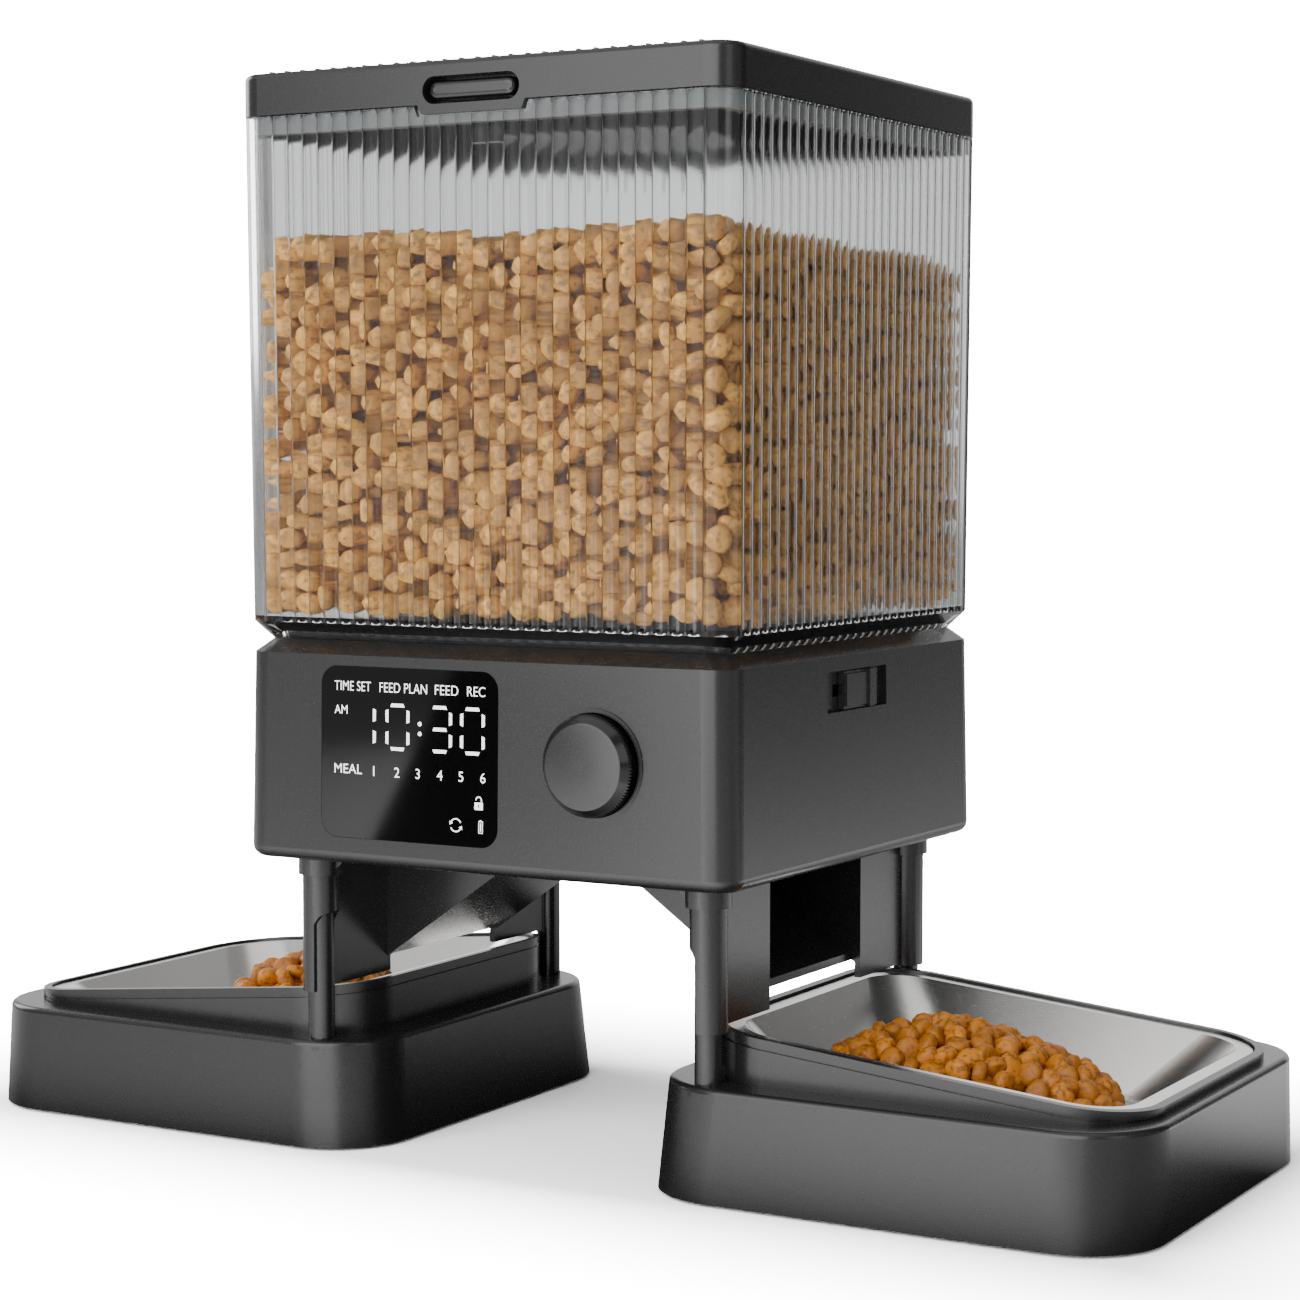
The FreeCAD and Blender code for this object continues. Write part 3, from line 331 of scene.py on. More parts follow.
def satin_abs():
    """ABS moulded in a spark-eroded tool: a fine even grain breaks the light into a soft satin."""
    material, tree, shader, place = new_material("abs_spark_satin_black")
    base = sizes("feeder_colours").casing
    # real grain is about 0.08 mm; 0.35 mm is the finest that shows
    fine = grain(tree, place, 0.35)
    cloud = mixed(tree, grain(tree, place, 60.0), opaque(base), opaque(c * 1.12 for c in base))
    plug(tree, shader, {"Base Color": cloud, "Roughness": ranged(tree, fine, 0.22, 0.3), "IOR": 1.53,
                        "Normal": bumped(tree, fine, 0.02, 0.35)})
    return material


def gloss_abs():
    """ABS from a polished tool, as the knob and the latch button: a deep black with sharp reflections."""
    material, tree, shader, place = new_material("abs_polished_black")
    plug(tree, shader, {"Base Color": linear("#121213"), "IOR": 1.53,
                        "Roughness": ranged(tree, grain(tree, place, 9.0), 0.14, 0.2)})
    return material


def black_glass():
    """Back-printed acrylic window: a mirror-flat front over dead black."""
    material, tree, shader, place = new_material("acrylic_back_printed_black")
    plug(tree, shader, {"Base Color": linear("#040405"), "IOR": 1.49,
                        "Roughness": ranged(tree, grain(tree, place, 14.0), 0.035, 0.06)})
    return material


def legend_white():
    """Lit white legend of the display behind the window."""
    material, tree, shader, place = new_material("display_legend_lit")
    white = sizes("feeder_colours").print_white
    uneven = mixed(tree, grain(tree, place, 2.0), opaque(0.94 * c for c in white), opaque(white))
    plug(tree, shader, {"Base Color": uneven, "Roughness": 0.5, "Emission Color": opaque(white),
                        "Emission Strength": 0.85})
    return material


def clear_san():
    """Clear styrene-acrylonitrile, injection moulded: bright, faintly grey, with tool-polish haze. A dark
    grey line along every valley between reeds is painted shade.
    """
    material, tree, shader, place = new_material("san_clear_moulded")
    # the valley mark paints a thin dark line of shade along each valley
    valley = node(tree, "ShaderNodeAttribute", attribute_name="valley").outputs["Fac"]
    haze = ranged(tree, grain(tree, place, 5.0), 0.07, 0.11)
    plug(tree, shader, {"Base Color": mixed(tree, valley, linear("#F2F3F3"), linear("#3A3634")), "IOR": 1.5,
                        "Transmission Weight": 1.0,
                        "Roughness": maths(tree, "MULTIPLY_ADD", valley, 0.35, haze)})
    through = node(tree, "ShaderNodeBsdfTransparent", {"Color": linear("#E9EBEB")})
    swapped(tree, "Is Shadow Ray", shader, through)
    return material


def baked_food(name, kind):
    """Extruded and baked kibble: a dry rough crust with dark specks, partly the pellets' own speckle and
    partly painted shade set in its pits; each pellet its own brown.
    """
    material, tree, shader, place = new_material(name)
    base = Vector(getattr(sizes("feeder_colours"), kind))
    tint = node(tree, "ShaderNodeAttribute", attribute_name="tint").outputs["Fac"]
    crust = grain(tree, place, 1.1, 4.0)
    body = mixed(tree, tint, opaque(base * 0.75), opaque(base * 1.25))
    # the specks fall where the crust's bump is low, so they also paint shade into its pits
    speck_and_pit_shade = ranged(tree, crust, 0.0, 1.0, 0.38, 0.5)
    plug(tree, shader, {"Base Color": mixed(tree, speck_and_pit_shade, opaque(base * 0.55), body), "Roughness": 0.5,
                        "Specular IOR Level": 0.45, "Normal": bumped(tree, crust, 0.6, 0.8)})
    return material


def pressed_steel():
    """Deep-drawn 304 stainless with a buffed finish: soft streaks run with the drawing."""
    material, tree, shader, place = new_material("stainless_304_buffed")
    stretched = node(tree, "ShaderNodeMapping", {"Vector": place, "Scale": (0.25, 0.25, 3.0)}).outputs[0]
    streak = grain(tree, stretched, 0.6, 3.0)
    cloud = mixed(tree, grain(tree, place, 30.0), linear("#DCDBD8"), linear("#ECEBE8"))
    plug(tree, shader, {"Base Color": cloud, "Metallic": 1.0, "Roughness": ranged(tree, streak, 0.23, 0.29),
                        "Normal": bumped(tree, streak, 0.002, 0.05)})
    return material


def plain_finish(name, base, other, rough, grain_mm, metallic=0.0, bump_mm=0.02):
    """A simple finish of two near colours, an uneven roughness and a fine bump."""
    material, tree, shader, place = new_material(name)
    texture = grain(tree, place, grain_mm)
    plug(tree, shader, {"Base Color": mixed(tree, texture, linear(base), linear(other)), "IOR": 1.5,
                        "Roughness": ranged(tree, texture, *rough), "Metallic": metallic,
                        "Normal": bumped(tree, texture, bump_mm, 0.5)})
    return material


def finishes():
    """One material for each slot of the record."""
    return {
        "black_abs": satin_abs(),
        "gloss_black": black_glass(),
        "clear_plastic": clear_san(),
        "stainless_steel": pressed_steel(),
        # platinum-cured silicone: milky, slightly dull
        "silicone": plain_finish("silicone_milky", "#8E9192", "#9EA1A1", (0.42, 0.55), 1.2),
        # compression-moulded rubber: dead matt black
        "rubber": plain_finish("rubber_matt_black", "#161616", "#222222", (0.75, 0.9), 0.5, bump_mm=0.08),
        # fibreglass board under green solder mask
        "circuit_board": plain_finish("solder_mask_green", "#0B3A20", "#135231", (0.25, 0.4), 1.5),
        # zinc-plated steel: grey, slightly mottled
        "steel": plain_finish("zinc_plated_steel", "#9A9C9D", "#B7B9BA", (0.22, 0.4), 1.0, metallic=1.0),
        # natural acetal: waxy off-white
        "acetal": plain_finish("acetal_natural", "#D9D8D0", "#E8E7E0", (0.3, 0.42), 2.0),
        # sintered bronze: porous and oily
        "bronze": plain_finish("bronze_sintered", "#8A6236", "#B08449", (0.35, 0.6), 0.4, metallic=1.0),
        # drawn steel can of the motor
        "motor_can": plain_finish("steel_drawn_can", "#8C8D8F", "#A5A6A8", (0.25, 0.38), 0.7, metallic=1.0),
        # printed film round a cell
        "battery_jacket": plain_finish("cell_film_jacket", "#1B1C1F", "#2C2E33", (0.2, 0.35), 3.0),
        # non-woven paper of the drying sachet
        "sachet_paper": plain_finish("sachet_nonwoven", "#D6D5CF", "#EFEEE9", (0.8, 0.95), 0.5, bump_mm=0.2),
        # pressed paper cone
        "speaker_cone": plain_finish("cone_pressed_paper", "#1A1918", "#2A2928", (0.8, 0.95), 0.6,
                                      bump_mm=0.1),
    }


MATERIALS = {}


# ------------------------------------------------------------------ reeded hopper
# columns of mesh across one reed, from its valley at -1 round to the next one
REED_COLUMNS = (-1.0, -0.9, -0.8, -0.5, -0.2, 0.2, 0.5, 0.8, 0.9)


def tank_rings(tank, seat, rim):
    """Rings of the hopper's skin from the outside foot up, over the rim and down the inside."""
    steps = 10
    reeds = max(1, round(2 * (tank.rim_half - tank.corner) / tank.reed_pitch))
    shares = [(i + (t + 1) / 2) / reeds for i in range(reeds) for t in REED_COLUMNS]
    foot = seat + tank.bevel
    fluted = [foot + 0.2 * MM, foot + tank.mark, foot + (rim - foot) * 0.5, rim - tank.mark, rim - 0.2 * MM]

    def half_at(z):
        return tank.foot_half + (tank.rim_half - tank.foot_half) * (z - foot) / (rim - foot)

    def ring(half, radius, z):
        corners = rounded_ring(half, radius, z, steps)
        points = []
        for side in range(4):
            arc = corners[side * (steps + 1):(side + 1) * (steps + 1)]
            following = corners[((side + 1) % 4) * (steps + 1)]
            points += arc
            a, b = Vector(arc[-1]), Vector(following)
            points += [tuple(a.lerp(b, share)) for share in shares[1:]]
        return points

    skin = [ring(tank.seat_half, tank.corner - 3 * MM, seat), ring(tank.foot_half, tank.corner, foot)]
    skin += [ring(half_at(z), tank.corner, z) for z in fluted]
    skin.append(ring(tank.rim_half, tank.corner, rim))
    inner = tank.corner - tank.wall
    skin.append(ring(tank.rim_half - tank.wall, inner, rim))
    skin.append(ring(half_at(foot + 2 * MM) - tank.wall, inner, foot + 2 * MM))
    skin.append(ring(tank.mouth_half, 6 * MM, seat + 5.1 * MM))
    skin.append(ring(tank.mouth_half, 6 * MM, seat))
    skin.append(ring(tank.seat_half, tank.corner - 3 * MM, seat))
    flags = [0, 0] + [1] * len(fluted) + [0] * 6
    return skin, flags


def group_tree(name, **inputs):
    """A Geometry Nodes tree from mesh to mesh with further named inputs; gives its input sockets too."""
    tree = bpy.data.node_groups.new(name, "GeometryNodeTree")
    for socket, kind in {"Geometry": "Geometry", **inputs, "Finish": "Material"}.items():
        tree.interface.new_socket(socket, in_out="INPUT", socket_type="NodeSocket" + kind)
    tree.interface.new_socket("Geometry", in_out="OUTPUT", socket_type="NodeSocketGeometry")
    return tree, node(tree, "NodeGroupInput").outputs


def ended(tree, given, made):
    """End a tree in real geometry that wears the given finish."""
    real = node(tree, "GeometryNodeRealizeInstances", {"Geometry": made.outputs[0]})
    dressed = node(tree, "GeometryNodeSetMaterial",
                   {"Geometry": real.outputs[0], "Material": given["Finish"]})
    node(tree, "NodeGroupOutput", {0: dressed.outputs[0]})
    return tree


def named(tree, attribute, kind):
    return node(tree, "GeometryNodeInputNamedAttribute", {"Name": attribute}, data_type=kind).outputs[0]


def reed_tree():
    """Push the flat stretches of a wall in between its reeds, so that each reed is a convex arc."""
    tree, given = group_tree("reeded_wall", Pitch="Float", Depth="Float")
    # distance from the side's left end, in reeds
    along = maths(tree, "DIVIDE", named(tree, "run", "FLOAT"), given["Pitch"])
    centred = maths(tree, "SUBTRACT", maths(tree, "FRACT", along), 0.5)
    doubled = maths(tree, "MULTIPLY", centred, 2.0)
    square = maths(tree, "MULTIPLY", doubled, doubled)
    # a narrow groove runs along each valley
    groove = ranged(tree, maths(tree, "ABSOLUTE", doubled), 0.0, 0.55, 0.9, 1.0)
    deep = maths(tree, "MULTIPLY", maths(tree, "ADD", square, groove), given["Depth"])
    kept = maths(tree, "MULTIPLY", deep, named(tree, "reeded", "FLOAT"))
    shift = node(tree, "ShaderNodeVectorMath", {0: named(tree, "inward", "FLOAT_VECTOR"), "Scale": kept},
                 operation="SCALE")
    return ended(tree, given, node(tree, "GeometryNodeSetPosition",
                                   {"Geometry": given["Geometry"], "Offset": shift.outputs[0]}))


def run_tree(made, tree, inputs, name):
    """Put a Geometry Nodes tree on an object with its named inputs, and settle the result."""
    modifier = made.modifiers.new(tree.name, "NODES")
    modifier.node_group = tree
    for socket in tree.interface.items_tree:
        if socket.in_out == "INPUT" and socket.name in inputs:
            modifier[socket.identifier] = inputs[socket.name]
    return settled(made, name)


class FEEDER_OT_tank(bpy.types.Operator):
    """Build the clear reeded hopper with its hinge knuckles and black wedges of painted shadow at its reed
    ends
    """
    bl_idname = "feeder.tank"
    bl_label = "Reeded hopper"

    def execute(self, context):
        tank = sizes("feeder_tank")
        low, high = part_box("hopper_tank")
        seat = low.z
        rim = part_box("lid_gasket")[1].z
        rings, flags = tank_rings(tank, seat, rim)
        made = self.wall(tank, rings, flags, rim)
        reeded = run_tree(made, reed_tree(), {"Pitch": self.pitch, "Depth": tank.reed_depth,
                                              "Finish": MATERIALS["clear_plastic"]}, "reeded_hopper")
        crease(reeded, 30)
        finished(reeded, MATERIALS["clear_plastic"], "tank", ["hopper_tank"])
        self.knuckles(tank, rim, high.y)
        self.keys(tank, seat + tank.bevel, rim)
        return {"FINISHED"}

    def wall(self, tank, rings, flags, rim):
        points, faces = lofted(rings)
        made = mesh_object("hopper_skin", points, faces)
        count = len(rings[0])
        flat = tank.rim_half - tank.corner
        reeds = max(1, round(2 * flat / tank.reed_pitch))
        self.pitch = 2 * flat / reeds
        run, share, inward, valley = [], [], [], []
        for level, ring in enumerate(rings):
            for x, y, z in ring:
                on_x = abs(y) > abs(x)
                # the flat stretch keeps its reeds in step from foot to rim
                reach = max(abs(x), abs(y)) - tank.corner
                along = (x if on_x else y) * flat / reach
                run.append(along + flat)
                share.append(float(flags[level]) * (1.0 if abs(along) <= flat + 1e-6 else 0.0))
                # mark each valley line, which the clear finish paints dark as painted shade
                off = abs((along + flat) / self.pitch - round((along + flat) / self.pitch))
                valley.append(share[-1] if off < 0.02 else 0.0)
                inward.append((0.0, -math.copysign(1.0, y), 0.0) if on_x
                              else (-math.copysign(1.0, x), 0.0, 0.0))
        for name, values in (("run", run), ("reeded", share), ("valley", valley)):
            made.data.attributes.new(name, "FLOAT", "POINT").data.foreach_set("value", values)
        layer = made.data.attributes.new("inward", "FLOAT_VECTOR", "POINT")
        for item, value in zip(layer.data, inward):
            item.vector = value
        for vertex in made.data.vertices:
            at = vertex.co
            if at.y < -0.05 and abs(at.x) < tank.notch_half and at.z > rim - tank.notch_drop:
                at.z = rim - tank.notch_drop
        return made

    def knuckles(self, tank, rim, back):
        """Two hinge knuckles on webs behind the rim."""
        pins_low, pins_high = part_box("lid_hinge_pins")
        axis_y = (pins_low.y + pins_high.y) / 2
        axis_z = (pins_low.z + pins_high.z) / 2
        radius = back - axis_y
        half = 6 * MM
        root = tank.rim_half - tank.wall / 2
        parts = []
        for side in (-1, 1):
            middle = side * (pins_high.x - 15 * MM)
            outline = [(root, rim - 14 * MM), (back, axis_z - 2 * MM)]
            outline += [(axis_y + radius * math.cos(a), axis_z + radius * math.sin(a))
                        for a in [math.radians(t) for t in range(0, 181, 15)]]
            outline.append((root, rim - 0.6 * MM))
            rings = [[(x, y, z) for y, z in outline] for x in (middle - half, middle + half)]
            points, faces = lofted(rings, closed_ends=True)
            parts.append(mesh_object("knuckle", points, faces))
        made = merged("hopper_hinge_knuckles", parts)
        outward(made)
        crease(made, 40)
        finished(made, MATERIALS["clear_plastic"], "tank")

    def keys(self, tank, foot, rim):
        """Small black wedges at both ends of every valley: painted shadow, standing for the dark gap there.
        """
        flat = tank.rim_half - tank.corner
        reeds = round(2 * flat / self.pitch)
        parts = []
        for top, end, half, way in ((True, rim, tank.rim_half, -1), (False, foot, tank.foot_half, 1)):
            base_z, tip = end + way * 0.05 * MM, way * tank.mark
            for quarter in range(4):
                turn = Matrix.Rotation(math.radians(90 * quarter), 4, "Z")
                for i in range(1, reeds):
                    x = (-flat + i * self.pitch) * (half - tank.corner) / flat
                    if top and quarter == 0 and abs(x) < tank.notch_half + 1 * MM:
                        continue
                    wide, near, deep = 0.85 * MM, -half + 0.15 * MM, -half + tank.reed_depth
                    corners = [(x - wide, near, base_z), (x + wide, near, base_z), (x, deep, base_z),
                               (x, deep, base_z + tip)]
                    points = [tuple(turn @ Vector(c)) for c in corners]
                    parts.append(mesh_object("key", points, [(0, 1, 2), (0, 3, 1), (1, 3, 2), (2, 3, 0)]))
        # the black wedges are painted shadow at the valley ends
        made = merged("reed_end_keys", parts)
        outward(made)
        made.data.shade_flat()
        finished(made, MATERIALS["black_abs"], "tank")


# ------------------------------------------------------------------ dry food
def pellet_shape(diameter, thick, around, rows):
    """Lens-like pellet with a rounded rim, in the XY plane."""
    rings = []
    for i in range(1, rows):
        turn = math.pi * i / rows
        z = -math.cos(turn)
        flat_z = math.copysign(abs(z) ** 0.65, z) * diameter * thick / 2
        radius = math.sin(turn) ** 0.55 * diameter / 2
        rings.append([(radius * math.cos(2 * math.pi * j / around),
                       radius * math.sin(2 * math.pi * j / around), flat_z) for j in range(around)])
    points, faces = lofted(rings)
    low, high = len(points), len(points) + 1
    points += [(0, 0, -diameter * thick / 2), (0, 0, diameter * thick / 2)]
    last = (len(rings) - 1) * around
    for j in range(around):
        k = (j + 1) % around
        faces.append((low, k, j))
        faces.append((high, last + j, last + k))
    return mesh_object("pellet", points, faces)


def scatter_tree():
    """Scatter pellets over a surface, none nearer to another than a set gap."""
    tree, given = group_tree("food_scatter", Pellet="Object", Gap="Float", Seed="Int")
    spots = node(tree, "GeometryNodeDistributePointsOnFaces",
                 {"Mesh": given["Geometry"], "Distance Min": given["Gap"], "Density Max": 60000.0,
                  "Seed": given["Seed"]}, distribute_method="POISSON")

    def drawn(kind, inputs):
        return node(tree, "FunctionNodeRandomValue", {**inputs, "Seed": given["Seed"]},
                    data_type=kind).outputs

    turn = drawn("FLOAT_VECTOR", {"Min": (0.0, 0.0, 0.0), "Max": (math.tau,) * 3})[0]
    size = drawn("FLOAT_VECTOR", {"Min": (0.86, 0.78, 0.85), "Max": (1.08, 1.02, 1.2)})[0]
    turned = node(tree, "FunctionNodeEulerToRotation", {0: turn})
    shape = node(tree, "GeometryNodeObjectInfo", {"Object": given["Pellet"]})
    stood = node(tree, "GeometryNodeInstanceOnPoints",
                 {"Points": spots.outputs["Points"], "Instance": shape.outputs["Geometry"],
                  "Rotation": turned.outputs[0], "Scale": size})
    shade = drawn("FLOAT", {2: 0.0, 3: 1.0})[1]
    noted = node(tree, "GeometryNodeStoreNamedAttribute",
                 {"Geometry": stood.outputs[0], "Name": "tint", "Value": shade},
                 data_type="FLOAT", domain="INSTANCE")
    return ended(tree, given, noted)


def wavy(x, y, amount):
    """Gentle unevenness of a poured surface."""
    return amount * (math.sin(x * 47 + 1.3) * math.cos(y * 39 + 0.4) + 0.6 * math.sin(x * 101 + y * 83))


class FEEDER_OT_food(bpy.types.Operator):
    """Fill the hopper with dry food and heap some in both bowls"""
    bl_idname = "feeder.food"
    bl_label = "Dry food"

    def execute(self, context):
        food = sizes("feeder_food")
        tank = sizes("feeder_tank")
        self.tree = scatter_tree()
        small = pellet_shape(food.pellet, food.thick, 8, 5)
        fine = pellet_shape(food.pellet, food.thick, 12, 7)
        # the stored pellets wear the paler brown, a painted veil of reflected light
        finish = baked_food("kibble_stored", "food")
        served = baked_food("kibble_served", "served")
        self.hopper(food, tank, small, finish)
        for side in (-1, 1):
            self.heap(food, fine, served, side)
        bpy.data.objects.remove(small)
        bpy.data.objects.remove(fine)
        return {"FINISHED"}

    def scattered(self, skin, pellet, gap, seed, finish, name, body):
        """Pellets over a skin, as one piece that rides with a body."""
        made = run_tree(skin, self.tree,
                        {"Pellet": pellet, "Gap": gap, "Seed": seed, "Finish": finish}, name)
        finished(made, finish, body)
        return made

    def level(self, food, x, y):
        share = (y + 0.1) / 0.2
        return food.level - food.fall * share * share + wavy(x, y, 1.6 * MM)

    def hopper(self, food, tank, pellet, finish):
        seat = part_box("hopper_tank")[0].z
        inner = tank.foot_half - tank.wall
        foot = seat + tank.bevel + 6 * MM
        for count, inset in enumerate((0.52, 1.25)):
            half = inner - food.pellet * inset
            rings = []
            for i in range(29):
                ring = []
                for x, y, z in rounded_ring(half, 5 * MM, 0.0, 8):
                    top = self.level(food, x, y) - food.pellet * (0.4 + inset * 0.3)
                    ring.append((x, y, foot + (top - foot) * i / 28))
                rings.append(ring)
            points, faces = lofted(rings)
            skin = mesh_object("food_skin", points, faces)
            made = self.scattered(skin, pellet, food.pellet * 0.66, food.seed + count, finish,
                                  f"stored_food_layer_{count + 1}", "tank")
            crease(made, 180)
        half = inner - food.pellet * 0.6
        top = self.blanket(food, half, food.pellet * 0.45)
        self.scattered(top, pellet, food.pellet * 0.62, food.seed + 5, finish, "stored_food_top", "tank")
        core_half = inner - food.pellet * 1.5
        upper = self.blanket(food, core_half, food.pellet * 1.2)
        self.core(upper, core_half, foot, finish)

    def blanket(self, food, half, below):
        count = 24
        points, faces = [], []
        for j in range(count + 1):
            for i in range(count + 1):
                x, y = -half + 2 * half * i / count, -half + 2 * half * j / count
                points.append((x, y, self.level(food, x, y) - below))
        for j in range(count):
            for i in range(count):
                a = j * (count + 1) + i
                faces.append((a, a + 1, a + count + 2, a + count + 1))
        return mesh_object("food_blanket", points, faces)

    def core(self, upper, half, foot, finish):
        """Solid heart of the fill, behind the pellets that show."""
        work = bmesh.new()
        work.from_mesh(upper.data)
        rim = [e for e in work.edges if e.is_boundary]
        grown = bmesh.ops.extrude_edge_only(work, edges=rim)
        for item in grown["geom"]:
            if isinstance(item, bmesh.types.BMVert):
                item.co.z = foot
        low = [e for e in work.edges if e.is_boundary]
        bmesh.ops.contextual_create(work, geom=low)
        bmesh.ops.recalc_face_normals(work, faces=work.faces)
        work.to_mesh(upper.data)
        work.free()
        upper.name = "stored_food_core"
        tint = upper.data.attributes.new("tint", "FLOAT", "POINT")
        tint.data.foreach_set("value", [0.55] * len(tint.data))
        finished(upper, finish, "tank")

    def heap(self, food, pellet, finish, side):
        body = "bowl_right" if side > 0 else "bowl_left"
        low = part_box(body)[0]
        centre_x = 0.155 if side > 0 else -0.152
        centre_y = -0.009 if side > 0 else 0.0
        reach_x, reach_y = (0.055, 0.041) if side > 0 else (0.03, 0.044)
        # the bowl's floor rises from its outer end inwards
        outer_end, rise = 0.219, math.tan(math.radians(5.56))
        tall, foot = 0.02, low.z + 3 * MM + 0.004
        for layer, (share, lift) in enumerate(((1.0, 0.0), (0.86, -0.006), (0.7, -0.012))):
            rings = []
            for i in range(1, 13):
                r = i / 12
                ring = []
                for j in range(40):
                    turn = 2 * math.pi * j / 40
                    x = centre_x + share * reach_x * r * math.cos(turn)
                    y = centre_y + share * reach_y * r * math.sin(turn)
                    z = foot + (tall + lift) * (1 - r * r) ** 0.6 + wavy(x, y, 1.2 * MM)
                    z += max(0.0, outer_end - abs(x)) * rise
                    ring.append((x, y, z))
                rings.append(ring)
            points, faces = lofted(rings)
            skin = mesh_object("heap_skin", points, faces)
            self.scattered(skin, pellet, food.pellet * 0.62, food.seed + 11 + layer, finish,
                           f"served_food_{'right' if side > 0 else 'left'}_{layer + 1}", body)


# ------------------------------------------------------------------ display legends
SEGMENTS = {"0": "abcdef", "1": "bc", "3": "abgcd"}


def text_mesh(words, height, x, z, width=None, bold=0.0):
    """Flat lettering in the XZ plane, its lower left corner at x, z."""
    curve = bpy.data.curves.new("legend", "FONT")
    curve.body = words
    curve.size = height * 1.38
    curve.offset = bold
    letter = placed("legend", curve)
    bpy.context.view_layer.update()
    graph = bpy.context.evaluated_depsgraph_get()
    mesh = bpy.data.meshes.new_from_object(letter.evaluated_get(graph))
    bpy.data.objects.remove(letter)
    low_x = min(v.co.x for v in mesh.vertices)
    high_x = max(v.co.x for v in mesh.vertices)
    low_y = min(v.co.y for v in mesh.vertices)
    high_y = max(v.co.y for v in mesh.vertices)
    stretch_x = width / (high_x - low_x) if width else height / (high_y - low_y)
    stretch_y = height / (high_y - low_y)
    for v in mesh.vertices:
        v.co = Vector((x + (v.co.x - low_x) * stretch_x, 0.0, z + (v.co.y - low_y) * stretch_y))
    return placed("legend", mesh)


def bar(a, b, thick, taper):
    """One lit segment from a to b in the XZ plane, with slanted ends."""
    a, b = Vector(a), Vector(b)
    along = (b - a).normalized()
    across = Vector((-along.y, along.x)) * thick / 2
    cut = along * taper
    outline = [a + across + cut, a - across, b - across, b + across - cut]
    return [(p.x, 0.0, p.y) for p in outline]


